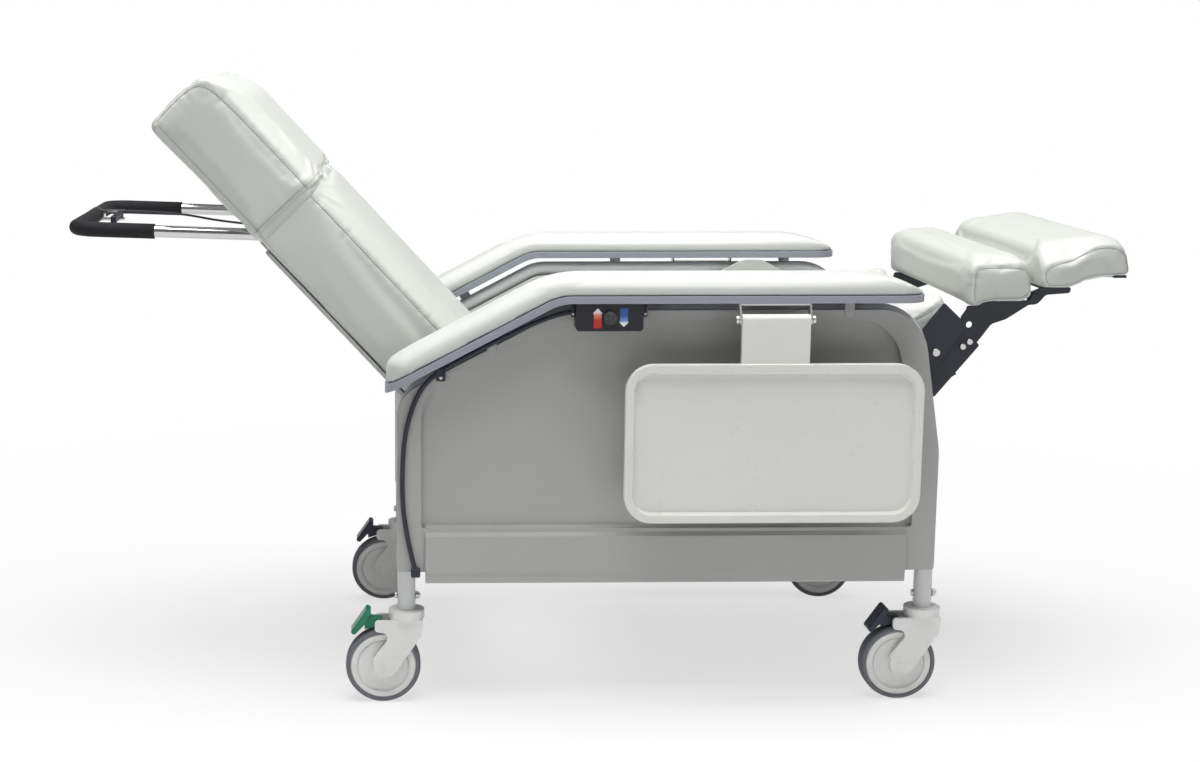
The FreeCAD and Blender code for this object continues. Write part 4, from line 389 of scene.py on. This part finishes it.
# Control points of the routes, in millimetres
CONTROL_ROUTE = (
    (-61.3, 662),
    (-100, 658),
    (-262, 575),
    (-300, 548),
    (-322, 508),
    (-338, 440),
    (-338, 310),
    (-316, 230),
)
cable(
    "control_cable_cord",
    "control_cable",
    [(x, CONTROL_CABLE_Y, z) for x, z in CONTROL_ROUTE],
    diameter=CONTROL_CABLE_DIAMETER,
    body="base",
)
RELEASE_ROUTE = (
    (-828.7, 40, 792),
    (-790, 38, 791),
    (-727, 29, 788),
    (-650, 19, 774),
    (-580.3, 12, 768.5),
)
cable(
    "release_cable_cord",
    "release_cable",
    RELEASE_ROUTE,
    diameter=0.004,
    body="back",
)

# Rigid pieces with their sharp edges eased

# Nothing of the far seat plate shows over the armrest in the photo, so its corner is cut lower
LOWERED = {"left_seat_plate": 0.653}
MERGE = 0.00002
FINE_MERGE = 0.00001
FLAT_ANGLE = math.radians(0.6)
SHARP_ANGLE = math.radians(38)
CREASE_ANGLE = math.radians(48)


def eased(node_name, width, segments=3):
    """Stands for a rigid CAD node: the same shape with small rounded edges."""
    source = nodes[node_name]
    shape = bmesh.new()
    shape.from_mesh(source.data)
    bmesh.ops.remove_doubles(shape, verts=shape.verts[:], dist=MERGE)
    bmesh.ops.dissolve_limit(shape, angle_limit=FLAT_ANGLE, verts=shape.verts[:], edges=shape.edges[:])
    if node_name in LOWERED:
        geometry = shape.verts[:] + shape.edges[:] + shape.faces[:]
        top = (0, 0, LOWERED[node_name])
        bmesh.ops.bisect_plane(shape, geom=geometry, plane_co=top, plane_no=(0, 0, 1), clear_outer=True)
        bmesh.ops.holes_fill(shape, edges=[edge for edge in shape.edges if edge.is_boundary])
    sharp = [edge for edge in shape.edges if edge.is_manifold and edge.calc_face_angle() > SHARP_ANGLE]
    bmesh.ops.bevel(
        shape,
        geom=sharp,
        offset=width,
        offset_type="OFFSET",
        affect="EDGES",
        segments=segments,
        profile=0.5,
        material=-1,
        clamp_overlap=True,
    )
    bmesh.ops.remove_doubles(shape, verts=shape.verts[:], dist=FINE_MERGE)
    for edge in shape.edges:
        edge.smooth = not (edge.is_manifold and edge.calc_face_angle() > CREASE_ANGLE)
    mesh = mesh_of(node_name + "_eased", shape)
    if "custom_normal" in mesh.attributes:
        mesh.attributes.remove(mesh.attributes["custom_normal"])
    slot = SLOT_OF[node_name]
    made = piece(node_name + "_eased", mesh, source["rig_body"], slot)
    shading = made.modifiers.new("even_shading", "WEIGHTED_NORMAL")
    shading.keep_sharp = True
    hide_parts(node_name)
    return made


# How far the edges of each pair of nodes are eased, in metres
EASED = {
    "arm_base": 0.0026,
    "side_panel": 0.0045,
    "side_liner": 0.0025,
    "tray": 0.003,
    "tray_bracket": 0.0008,
    "seat_plate": 0.0009,
    "swing_plate": 0.0009,
}
for stem, width in EASED.items():
    for side in SIDES:
        eased(f"{side}_{stem}", width)
for node_name, width in (
    ("control_housing", 0.002),
    ("back_board", 0.0018),
    ("legrest_frame", 0.0009),
    ("foot_bracket", 0.0009),
    ("legrest_bolts", 0.0014),
    ("legrest_pivots", 0.0014),
    ("caster_bolts", 0.0012),
    ("tray_pins", 0.0010),
    ("release_lever", 0.0012),
):
    eased(node_name, width)
eased("control_knob", 0.0016).data.materials[0] = FINISHES["knob"]
for leg in ("rear_right", "rear_left", "front_right", "front_left"):
    eased(f"{leg}_fork", 0.0016)
    eased(f"{leg}_pedal", 0.0014)


# Padding: each soft solid becomes a stuffed cover

BACK_ANGLE = math.radians(47)
BACK_UP = Vector((-math.cos(BACK_ANGLE), 0, math.sin(BACK_ANGLE)))
BACK_FRONT = Vector((math.sin(BACK_ANGLE), 0, math.cos(BACK_ANGLE)))
BACK_HINGE = Vector((-0.071, 0, 0.300))
SEAT_ANGLE = math.radians(31)
SEAT_ALONG = Vector((math.cos(SEAT_ANGLE), 0, math.sin(SEAT_ANGLE)))
SEAT_ABOVE = Vector((-math.sin(SEAT_ANGLE), 0, math.cos(SEAT_ANGLE)))
SEAT_SPOT = Vector((0.570, 0, 0.661))


def on_back(up, front, y=0.0):
    """A point from heights above and in front of the back hinge, in millimetres."""
    return BACK_HINGE + (BACK_UP * up + BACK_FRONT * front + ACROSS * y) * MM


def on_seat(along, above, y=0.0):
    """A point from the seat's upper front edge, in millimetres."""
    return SEAT_SPOT + (SEAT_ALONG * along + SEAT_ABOVE * above + ACROSS * y) * MM


def surface(mesh):
    """A lookup of a mesh's surface."""
    shape = bmesh.new()
    shape.from_mesh(mesh)
    tree = BVHTree.FromBMesh(shape)
    shape.free()
    return tree


def evaluated(holder):
    """The mesh of an object with its modifiers applied."""
    bpy.context.view_layer.update()
    graph = bpy.context.evaluated_depsgraph_get()
    return bpy.data.meshes.new_from_object(holder.evaluated_get(graph))


def settle(holder):
    """Applies an object's modifiers to its mesh."""
    mesh = evaluated(holder)
    old = holder.data
    holder.modifiers.clear()
    holder.data = mesh
    bpy.data.meshes.remove(old)


def shift_skin(mesh, shifts):
    """Moves every point of a mesh along its normal."""
    normals = [vertex.normal.copy() for vertex in mesh.vertices]
    for vertex, normal, shift in zip(mesh.vertices, normals, shifts):
        vertex.co += normal * shift
    mesh.update()


# A cover is held within the first distance of its neighbours, and less so over the second
HELD_NEAR = 0.004
HELD_FADE = 0.014
TUCK_MARGIN = 0.001
LAST_FRAME = 20


class Pad:
    """A stuffed cover made from a soft solid; it keeps still where it rests on its neighbours."""

    def __init__(self, name, node, rests_on, voxel, inset, cap, fill, easing=5, tuck=None):
        self.cap = cap
        mesh = nodes[node].data.copy()
        mesh.name = name
        shape = bmesh.new()
        shape.from_mesh(mesh)
        bmesh.ops.remove_doubles(shape, verts=shape.verts[:], dist=MERGE)
        if tuck:
            edge, way, depth = tuck
            ends = [vertex for vertex in shape.verts if (vertex.co - edge).dot(way) > -TUCK_MARGIN]
            bmesh.ops.translate(shape, verts=ends, vec=way * depth)
        shape.to_mesh(mesh)
        shape.free()
        body = nodes[node]["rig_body"]
        self.obj = piece(name, mesh, body, SLOT_OF[node])
        remesh = self.obj.modifiers.new("even_cloth", "REMESH")
        remesh.mode = "VOXEL"
        remesh.voxel_size = voxel
        settle(self.obj)
        self.soften_edges(easing)
        self.hold = self.held_weights([surface(nodes[near].data) for near in rests_on])
        if tuck:
            self.hold_tuck(edge, way)
        shift_skin(self.obj.data, [-inset * (1 - hold) for hold in self.hold])
        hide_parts(node)

    def soften_edges(self, rounds):
        mesh = self.obj.data
        shape = bmesh.new()
        shape.from_mesh(mesh)
        for _ in range(rounds):
            bmesh.ops.smooth_vert(
                shape, verts=shape.verts[:], factor=0.5, use_axis_x=True, use_axis_y=True, use_axis_z=True
            )
        for face in shape.faces:
            face.smooth = True
        shape.to_mesh(mesh)
        shape.free()
        if "custom_normal" in mesh.attributes:
            mesh.attributes.remove(mesh.attributes["custom_normal"])

    def held_weights(self, neighbours):
        weights = []
        for vertex in self.obj.data.vertices:
            nearest = min(tree.find_nearest(vertex.co)[3] for tree in neighbours)
            weights.append(min(1.0, max(0.0, 1.0 - (nearest - HELD_NEAR) / HELD_FADE)))
        return weights

    def hold_tuck(self, edge, way):
        """The end tucked under the next cover keeps its shape."""
        for vertex in self.obj.data.vertices:
            past = (vertex.co - edge).dot(way)
            tucked = min(1.0, max(0.0, 1.0 + past / HELD_FADE))
            self.hold[vertex.index] = max(self.hold[vertex.index], tucked)

    def prepare_cloth(self):
        group = self.obj.vertex_groups.new(name="held")
        for index, hold in enumerate(self.hold):
            if hold > 0.01:
                group.add([index], hold, "REPLACE")
        cloth = self.obj.modifiers.new("stuffing", "CLOTH")
        cloth.settings.quality = 4
        cloth.settings.vertex_group_mass = "held"
        cloth.settings.use_pressure = True
        cloth.settings.uniform_pressure_force = 4.0
        cloth.settings.effector_weights.gravity = 0.0
        cloth.point_cache.frame_start = 1
        cloth.point_cache.frame_end = LAST_FRAME

    def swell(self):
        """Takes the stuffed shape, with each point's motion capped."""
        full = evaluated(self.obj)
        self.obj.modifiers.clear()
        self.obj.vertex_groups.clear()
        for vertex, moved, hold in zip(self.obj.data.vertices, full.vertices, self.hold):
            step = moved.co - vertex.co
            if step.length > self.cap:
                step = step.normalized() * self.cap
            vertex.co += step * (1 - hold)
        bpy.data.meshes.remove(full)

    def refine(self):
        fine = self.obj.modifiers.new("fine_skin", "SUBSURF")
        fine.levels = 1
        fine.render_levels = 1
        settle(self.obj)


# Where the back cushion ends, in millimetres, and how far its cover goes on under the next one
HEM_EDGE = 685.7
TUCK_DEPTH = 0.040
PADS = {
    "seat_pad": Pad(
        "seat_pad",
        "seat_cushion",
        ["seat_frame"],
        voxel=0.0055,
        inset=0.0,
        cap=0.010,
        fill=0.8,
        easing=2,
    ),
    "back_pad": Pad(
        "back_pad",
        "back_cushion",
        ["back_board"],
        voxel=0.0065,
        inset=0.002,
        cap=0.004,
        fill=0.8,
        tuck=(on_back(HEM_EDGE, 0), BACK_UP, TUCK_DEPTH),
    ),
    "head_cover": Pad(
        "head_cover",
        "head_cushion",
        ["back_cushion"],
        voxel=0.006,
        inset=0.001,
        cap=0.003,
        fill=0.8,
        easing=3,
    ),
    "calf_cover": Pad(
        "calf_cover",
        "calf_pad",
        ["legrest_frame"],
        voxel=0.005,
        inset=0.001,
        cap=0.003,
        fill=0.85,
        easing=3,
    ),
    "foot_cover": Pad(
        "foot_cover",
        "foot_pad",
        ["foot_bracket"],
        voxel=0.005,
        inset=0.001,
        cap=0.003,
        fill=0.85,
        easing=3,
    ),
}
for side in SIDES:
    PADS[f"{side}_arm_cover"] = Pad(
        f"{side}_arm_cover",
        f"{side}_arm_pad",
        [f"{side}_arm_base"],
        voxel=0.0045,
        inset=0.0,
        cap=0.002,
        fill=0.9,
        easing=1,
    )
for pad in PADS.values():
    pad.prepare_cloth()
for step in range(1, LAST_FRAME + 1):
    scene.frame_set(step)
for pad in PADS.values():
    pad.swell()
scene.frame_set(1)
for pad in PADS.values():
    pad.refine()


def ramp_between(value, low, high):
    """Rises smoothly from 0 at low to 1 at high."""
    share = min(1.0, max(0.0, (value - low) / (high - low)))
    return share * share * (3 - 2 * share)


NOSE_BEHIND = -0.07
NOSE_BELOW = -0.035
NOSE_ABOVE = 0.006


def fill_nose(pad, forward=0.018, upward=0.006, half=0.268):
    """Stuffs the seat's upper front edge fuller towards its middle."""
    for vertex in pad.obj.data.vertices:
        place = vertex.co - SEAT_SPOT
        share = ramp_between(place.dot(SEAT_ALONG), NOSE_BEHIND, 0.0)
        share *= ramp_between(place.dot(SEAT_ABOVE), NOSE_BELOW, NOSE_ABOVE)
        share *= max(0.0, 1 - (vertex.co.y / half) ** 4)
        vertex.co += (SEAT_ALONG * forward + SEAT_ABOVE * upward) * share


fill_nose(PADS["seat_pad"])


# Seams and stitching

SPACING = 0.003
RAY_START = 0.5
FOLD_LIFT = 0.0002
STITCH_PITCH = 0.0065
STITCH_SIZE = (0.0021, 0.0006, 0.0005)
PUCKER_DEPTH = 0.0007
PUCKER_REACH = 0.012
PUCKER_LIMIT = 0.03
PUCKER_WAVE = 310.0
PUCKER_SWELL = 47.0
PUCKER_START = 1.3
# Distances of the stitch rows from their seam
DOUBLE = (0.0035, -0.0035)
SINGLE = (0.004,)
UNSTITCHED = ()


def smooth_line(points):
    """Points along the NURBS spline of a route."""
    guide = nurbs("guide", points)
    mesh = evaluated(guide)
    spots = [vertex.co.copy() for vertex in mesh.vertices]
    bpy.data.meshes.remove(mesh)
    line = guide.data
    bpy.data.objects.remove(guide)
    bpy.data.curves.remove(line)
    return spots


def evenly(spots, pitch):
    """The same line with points a fixed distance apart."""
    steps = [spots[0]]
    carried = 0.0
    for start, end in zip(spots, spots[1:]):
        run = (end - start).length
        while carried + run >= pitch:
            share = (pitch - carried) / run
            start = start.lerp(end, share)
            run = (end - start).length
            carried = 0.0
            steps.append(start)
        carried += run
    return steps


class Seam:
    """A sewn line on a pad: a groove, a thin fold, and rows of stitches beside it."""

    def __init__(self, points, toward, rows, depth=0.0016, reach=0.007, fold=0.0016):
        self.toward = toward
        self.rows = rows
        self.depth = depth
        self.reach = reach
        self.fold = fold
        self.route = evenly(smooth_line(points), SPACING)

    def laid(self, tree):
        """The route put down on the pad, as points with the skin's normal."""
        spots = []
        for point in self.route:
            if self.toward is None:
                spot, normal, _, _ = tree.find_nearest(point)
            else:
                spot, normal, _, _ = tree.ray_cast(point - self.toward * RAY_START, self.toward)
            if spot:
                spots.append((spot, normal))
        return spots


def press_seams(pad, seams):
    """Draws the skin in along its seams, with faint puckers beside them."""
    tree = surface(pad.obj.data)
    skin = pad.obj.data
    shifts = [0.0] * len(skin.vertices)
    for seam in seams:
        spots = seam.laid(tree)
        lookup = KDTree(len(spots))
        for index, (spot, _) in enumerate(spots):
            lookup.insert(spot, index)
        lookup.balance()
        for vertex in skin.vertices:
            _, index, distance = lookup.find(vertex.co)
            if distance > PUCKER_LIMIT:
                continue
            if distance < seam.reach:
                shifts[vertex.index] -= seam.depth * (1 - distance / seam.reach) ** 2
            along = index * SPACING
            ripple = math.sin(along * PUCKER_WAVE) * math.sin(along * PUCKER_SWELL + PUCKER_START)
            shifts[vertex.index] -= PUCKER_DEPTH * ripple * math.exp(-distance / PUCKER_REACH)
    shift_skin(skin, shifts)


def one_stitch():
    """A short plump thread along X."""
    shape = bmesh.new()
    bmesh.ops.create_icosphere(shape, subdivisions=1, radius=1.0)
    bmesh.ops.scale(shape, vec=STITCH_SIZE, verts=shape.verts[:])
    return mesh_of("stitch", shape)


STITCH = one_stitch()


def stitch_turn(along, normal):
    """Turns a stitch to lie along its row, flat on the skin."""
    side = normal.cross(along).normalized()
    return Matrix((along, side, normal)).transposed().to_4x4()


def sew(name, pad, seams):
    """The folds of a pad's seams as one piece, and their stitches, where it has any, as another."""
    tree = surface(pad.obj.data)
    thread = bmesh.new()
    fold_mesh = bmesh.new()
    for seam in seams:
        spots = seam.laid(tree)
        line = nurbs("fold", [spot + normal * FOLD_LIFT for spot, normal in spots], seam.fold)
        line.data.resolution_u = 2
        line.data.bevel_resolution = 1
        mesh = evaluated(line)
        fold_mesh.from_mesh(mesh)
        bpy.data.meshes.remove(mesh)
        curve = line.data
        bpy.data.objects.remove(line)
        bpy.data.curves.remove(curve)
        for offset in seam.rows:
            beside = []
            for (spot, normal), (following, _) in zip(spots, spots[1:]):
                along = (following - spot).normalized()
                near, _, _, _ = tree.find_nearest(spot + normal.cross(along) * offset)
                beside.append(near)
            row = evenly(beside, STITCH_PITCH)
            for spot, following in zip(row, row[1:]):
                _, normal, _, _ = tree.find_nearest(spot)
                along = (following - spot).normalized()
                stitch = STITCH.copy()
                stitch.transform(Matrix.Translation(spot) @ stitch_turn(along, normal))
                thread.from_mesh(stitch)
                bpy.data.meshes.remove(stitch)
    body = pad.obj["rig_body"]
    if thread.verts:
        piece(name + "_stitches", mesh_of(name + "_stitches", thread), body, "vinyl", FINISHES["thread"])
    else:
        thread.free()
    # The folds take the darker seam vinyl, which is painted shade of the seam grooves.
    piece(name + "_seam", mesh_of(name + "_seam", fold_mesh), body, "vinyl", FINISHES["seam"])


# Routes on the flanks: heights along the back or seat, and places in front of or above it
HEAD_EDGE = [(692, 71), (780, 71), (880, 70), (928, 64), (939, 40), (939, -10), (936, -36)]
HEAD_REAR = [(694, -36), (760, -36), (860, -36), (930, -36)]
BACK_EDGE = [(60, 66), (200, 66), (400, 66), (560, 66), (682, 66)]
SEAT_EDGE = [(-670, -3), (-480, -3), (-240, -3), (-60, -3), (-6, -3)]
FLANK_SEAMS = (
    ("head_cover", on_back, HEAD_EDGE, DOUBLE),
    ("head_cover", on_back, HEAD_REAR, SINGLE),
    ("back_pad", on_back, BACK_EDGE, DOUBLE),
    ("seat_pad", on_seat, SEAT_EDGE, SINGLE),
)
FLANK = 300
seam_plan = {name: [] for name in PADS}
for side, sign in SIDES.items():
    for name, place, route, rows in FLANK_SEAMS:
        spots = [place(first, second, sign * FLANK) for first, second in route]
        seam_plan[name].append(Seam(spots, ACROSS * -sign, rows))
# Rings on the ends of the legrest pads, in millimetres along X and Z
CALF_RING = [
    (610, 700), (609, 716), (622, 722), (655, 722), (684, 722), (696, 716), (701, 700), (701, 682),
    (690, 672), (660, 671), (632, 670), (618, 664), (608, 668), (610, 700),
]
FOOT_RING = [
    (727, 706), (726, 718), (742, 727), (770, 733), (792, 746), (812, 755), (840, 755), (857, 744),
    (864, 720), (864, 712), (828, 711), (794, 706), (772, 694), (745, 692), (729, 693), (727, 706),
]
for side, sign in SIDES.items():
    for name, ring in (("calf_cover", CALF_RING), ("foot_cover", FOOT_RING)):
        spots = [Vector((x, sign * FLANK, z)) * MM for x, z in ring]
        seam_plan[name].append(Seam(spots, ACROSS * -sign, UNSTITCHED, depth=0.0012, reach=0.006))
# The hem runs round the head cover from flank to flank: places across and in front
HEM_SEAM = 697
HEM_HALF = [(0, 106), (150, 102), (225, 95), (252, 84), (266, 64), (268, 30), (268, -10), (268, -42)]
hem = [on_back(HEM_SEAM, front, -y) for y, front in reversed(HEM_HALF)]
hem += [on_back(HEM_SEAM, front, y) for y, front in HEM_HALF[1:]]
seam_plan["head_cover"].append(Seam(hem, None, DOUBLE, depth=0.0008))


LINING_PITCH = 0.008
LINING_LOW = 0.021
LINING_HIGH = 0.002
LOW_SINK = 0.0014
HIGH_SINK = 0.0036


def hem_lining(thickness=0.007):
    """The lining that closes the joint between the back and its head cover."""
    back = surface(PADS["back_pad"].obj.data)
    head = surface(PADS["head_cover"].obj.data)
    shape = bmesh.new()
    rows = []
    for spot in evenly(smooth_line(hem), LINING_PITCH):
        low, low_normal, _, _ = back.find_nearest(spot - BACK_UP * LINING_LOW)
        high, high_normal, _, _ = head.find_nearest(spot - BACK_UP * LINING_HIGH)
        outer = [low - low_normal * LOW_SINK, high - high_normal * HIGH_SINK]
        inner = [low - low_normal * thickness, high - high_normal * thickness]
        rows.append([shape.verts.new(point) for point in outer + inner[::-1]])
    for near, far in zip(rows, rows[1:]):
        for corner in range(4):
            following = (corner + 1) % 4
            shape.faces.new((near[corner], near[following], far[following], far[corner]))
    shape.faces.new(rows[0])
    shape.faces.new(rows[-1])
    bmesh.ops.recalc_face_normals(shape, faces=shape.faces[:])
    piece("hem_lining", mesh_of("hem_lining", shape), PADS["back_pad"].obj["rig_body"], "vinyl")


hem_lining()

for name, seams in seam_plan.items():
    if seams:
        press_seams(PADS[name], seams)
        sew(name, PADS[name], seams)


# Small trim: control face, cable clip and guide, panel tabs, foot strip


SCREW_MERGE = 0.000005


def turned(shape, profile, spot, axis, steps=24):
    """Spins a profile of (radius, height) about an axis through spot."""
    side = axis.orthogonal().normalized()
    corners = [shape.verts.new(spot + side * radius + axis * height) for radius, height in profile]
    edges = [shape.edges.new(pair) for pair in zip(corners, corners[1:])]
    bmesh.ops.spin(
        shape,
        geom=corners + edges,
        cent=spot,
        axis=axis,
        dvec=(0, 0, 0),
        angle=math.tau,
        steps=steps,
        use_merge=True,
    )


def screw(name, spot, axis, radius, body):
    """A domed screw head, with its radius setting the other sizes."""
    shape = bmesh.new()
    outline = [(0.0, 0.62), (0.5, 0.54), (0.9, 0.26), (1.0, 0.0), (1.0, -0.4), (0.0, -0.4)]
    turned(shape, [(radius * wide, radius * high) for wide, high in outline], spot, axis)
    bmesh.ops.remove_doubles(shape, verts=shape.verts[:], dist=SCREW_MERGE)
    bmesh.ops.recalc_face_normals(shape, faces=shape.faces[:])
    return piece(name, mesh_of(name, shape), body, "zinc")


def block(name, low, high, rounding, body, slot):
    """A box between two corners with rounded edges."""
    shape = bmesh.new()
    bmesh.ops.create_cube(shape, size=1.0)
    middle = (Vector(low) + Vector(high)) / 2
    size = Vector(high) - Vector(low)
    bmesh.ops.scale(shape, vec=size, verts=shape.verts[:])
    bmesh.ops.translate(shape, vec=middle, verts=shape.verts[:])
    bmesh.ops.bevel(
        shape, geom=shape.edges[:], offset=rounding, affect="EDGES", segments=3, profile=0.5, material=-1
    )
    return piece(name, mesh_of(name, shape), body, slot)


box_low, box_high = (Vector(corner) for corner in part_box("control_housing"))
FACE_Y = box_low.y


def arrow(name, x, tail, neck, tip, finish):
    """A flat printed arrow on the control face; heights are over the box's lower edge."""
    shaft = 0.0062
    head = 0.0080
    proud = 0.0001
    rise = 0.0004
    outline = [(-shaft, tail), (shaft, tail), (shaft, neck), (head, neck)]
    outline += [(0, tip), (-head, neck), (-shaft, neck)]
    shape = bmesh.new()
    corners = [shape.verts.new((box_low.x + x + u, FACE_Y - proud, box_low.z + z)) for u, z in outline]
    face = shape.faces.new(corners)
    grown = bmesh.ops.extrude_face_region(shape, geom=[face])
    lifted = [item for item in grown["geom"] if isinstance(item, bmesh.types.BMVert)]
    bmesh.ops.translate(shape, vec=(0, -rise, 0), verts=lifted)
    bmesh.ops.recalc_face_normals(shape, faces=shape.faces[:])
    piece(name, mesh_of(name, shape, False), "base", "control_plastic", finish)


foot_z = box_low.z
RED_DEEP = (0.52, 0.030, 0.030)
RED_LIGHT = (0.78, 0.30, 0.20)
BLUE_DEEP = (0.045, 0.10, 0.38)
BLUE_LIGHT = (0.20, 0.32, 0.62)
RED = arrow_print("red_arrow_print", foot_z + 0.005, foot_z + 0.037, RED_DEEP, RED_LIGHT)
BLUE = arrow_print("blue_arrow_print", foot_z + 0.037, foot_z + 0.007, BLUE_DEEP, BLUE_LIGHT)
arrow("raise_arrow", 0.0347, 0.005, 0.0285, 0.037, RED)
arrow("lower_arrow", 0.0765, 0.037, 0.0150, 0.007, BLUE)
for end, x in (("rear", box_low.x - 0.0035), ("front", box_high.x + 0.0035)):
    ear_low = (x - 0.0035, FACE_Y + 0.008, foot_z + 0.022)
    ear_high = (x + 0.0035, FACE_Y + 0.011, foot_z + 0.043)
    block(f"control_ear_{end}", ear_low, ear_high, 0.0008, "base", "control_plastic")
    screw(f"control_screw_{end}", Vector((x, FACE_Y + 0.008, foot_z + 0.027)), -ACROSS, 0.0024, "base")

clip_y = CONTROL_CABLE_Y * MM
clip_low = (-0.283, clip_y - 0.0055, 0.549)
clip_high = (-0.268, clip_y + 0.004, 0.571)
block("cable_clip", clip_low, clip_high, 0.0018, "base", "cable_sheath")
screw("cable_clip_screw", Vector((-0.2755, clip_y - 0.0055, 0.5555)), -ACROSS, 0.0030, "base")

guide_low = (-0.3240, clip_y - 0.0062, 0.2215)
guide_high = (-0.3085, clip_y + 0.012, 0.2365)
block("cable_guide", guide_low, guide_high, 0.0030, "base", "cable_sheath")


def strap(name, middle, low, high):
    """A moulded strap with a round lower end that hangs from the armrest over the panel."""
    radius = 0.008
    thickness = 0.0045
    rounding = 0.0014
    outer_y = -0.3405
    touch = 1e-6
    shape = bmesh.new()
    turns = [math.pi * step / 12 for step in range(13)]
    outline = [(middle - radius * math.cos(turn), low + radius * (1 - math.sin(turn))) for turn in turns]
    outline += [(middle + radius, high), (middle - radius, high)]
    face = shape.faces.new([shape.verts.new((x, outer_y, z)) for x, z in outline])
    grown = bmesh.ops.extrude_face_region(shape, geom=[face])
    pushed = [item for item in grown["geom"] if isinstance(item, bmesh.types.BMVert)]
    bmesh.ops.translate(shape, vec=(0, thickness, 0), verts=pushed)
    rims = []
    for edge in shape.edges:
        if all(abs(vertex.co.y - outer_y) < touch for vertex in edge.verts):
            rims.append(edge)
    bmesh.ops.bevel(shape, geom=rims, offset=rounding, affect="EDGES", segments=3, profile=0.5, material=-1)
    bmesh.ops.recalc_face_normals(shape, faces=shape.faces[:])
    piece(name, mesh_of(name, shape), "base", "panel_grey")


strap("panel_tab_front", 0.385, 0.651, 0.682)
strap("panel_tab_rear", -0.193, 0.590, 0.622)
strip_low = (0.842, -0.258, 0.7040)
strip_high = (0.863, 0.258, 0.7085)
block("foot_strip", strip_low, strip_high, 0.0012, "foot", "dark_steel")


# Floor, backdrop and light


def plain_floor():
    """White paper that keeps the chair's shadow and fades to bare white further out."""
    shape = bmesh.new()
    bmesh.ops.create_grid(shape, x_segments=1, y_segments=1, size=40.0)
    floor = bpy.data.objects.new("studio_floor", mesh_of("studio_floor", shape))
    scene.collection.objects.link(floor)
    finish = Finish("floor_paper")
    finish.set(Base_Color=(0.90, 0.90, 0.90, 1.0), Roughness=0.9, Specular_IOR_Level=0.1)
    glow = finish.add("ShaderNodeEmission", None, {"Color": (1.0, 1.0, 1.0, 1.0)})
    paths = finish.tree.nodes.new("ShaderNodeLightPath")
    seen = Value(finish, paths.outputs["Is Camera Ray"])
    seen = seen.most(Value(finish, paths.outputs["Is Glossy Ray"]))
    seen = seen.most(Value(finish, paths.outputs["Is Transmission Ray"]))
    reach = finish.add("ShaderNodeVectorMath", {"operation": "LENGTH"}, {0: finish.place}, "Value")
    far = finish.add(
        "ShaderNodeMapRange",
        {"interpolation_type": "SMOOTHSTEP"},
        {"Value": reach, "From Min": 0.7, "From Max": 2.3, "To Min": 0.66, "To Max": 1.0},
    )
    paper = Value(finish, finish.shader.outputs[0])
    mixed = finish.add("ShaderNodeMixShader", None, {0: seen * far, 1: paper, 2: glow})
    output = finish.tree.nodes["Material Output"]
    finish.tree.links.new(mixed.socket, output.inputs["Surface"])
    floor.data.materials.append(finish.material)


def soft_light(name, place, target, size, power):
    lamp = bpy.data.lights.new(name, "AREA")
    lamp.shape = "DISK"
    lamp.size = size
    lamp.energy = power
    holder = bpy.data.objects.new(name, lamp)
    holder.location = place
    holder.rotation_mode = "QUATERNION"
    holder.rotation_quaternion = (Vector(target) - Vector(place)).to_track_quat("-Z", "Y")
    scene.collection.objects.link(holder)


def studio_world(strength):
    world = bpy.data.worlds.new("studio")
    world.use_nodes = True
    scene.world = world
    tree = world.node_tree
    tree.nodes.clear()
    output = tree.nodes.new("ShaderNodeOutputWorld")
    lighting = tree.nodes.new("ShaderNodeBackground")
    lighting.inputs["Color"].default_value = (0.98, 0.99, 1.0, 1.0)
    lighting.inputs["Strength"].default_value = strength
    backdrop = tree.nodes.new("ShaderNodeBackground")
    backdrop.inputs["Color"].default_value = (1.0, 1.0, 1.0, 1.0)
    seen = tree.nodes.new("ShaderNodeLightPath")
    choose = tree.nodes.new("ShaderNodeMixShader")
    tree.links.new(seen.outputs["Is Camera Ray"], choose.inputs["Fac"])
    tree.links.new(lighting.outputs["Background"], choose.inputs[1])
    tree.links.new(backdrop.outputs["Background"], choose.inputs[2])
    tree.links.new(choose.outputs["Shader"], output.inputs["Surface"])


plain_floor()
studio_world(0.15)
soft_light("top_light", (0.0, -0.35, 3.3), (0.0, 0.0, 0.5), 3.2, 160)
soft_light("key_light", (-2.2, -2.8, 1.8), (0.0, 0.0, 0.5), 2.0, 8)
soft_light("fill_light", (2.4, -2.8, 1.0), (0.0, 0.0, 0.4), 2.0, 6)
scene.view_settings.view_transform = "Standard"
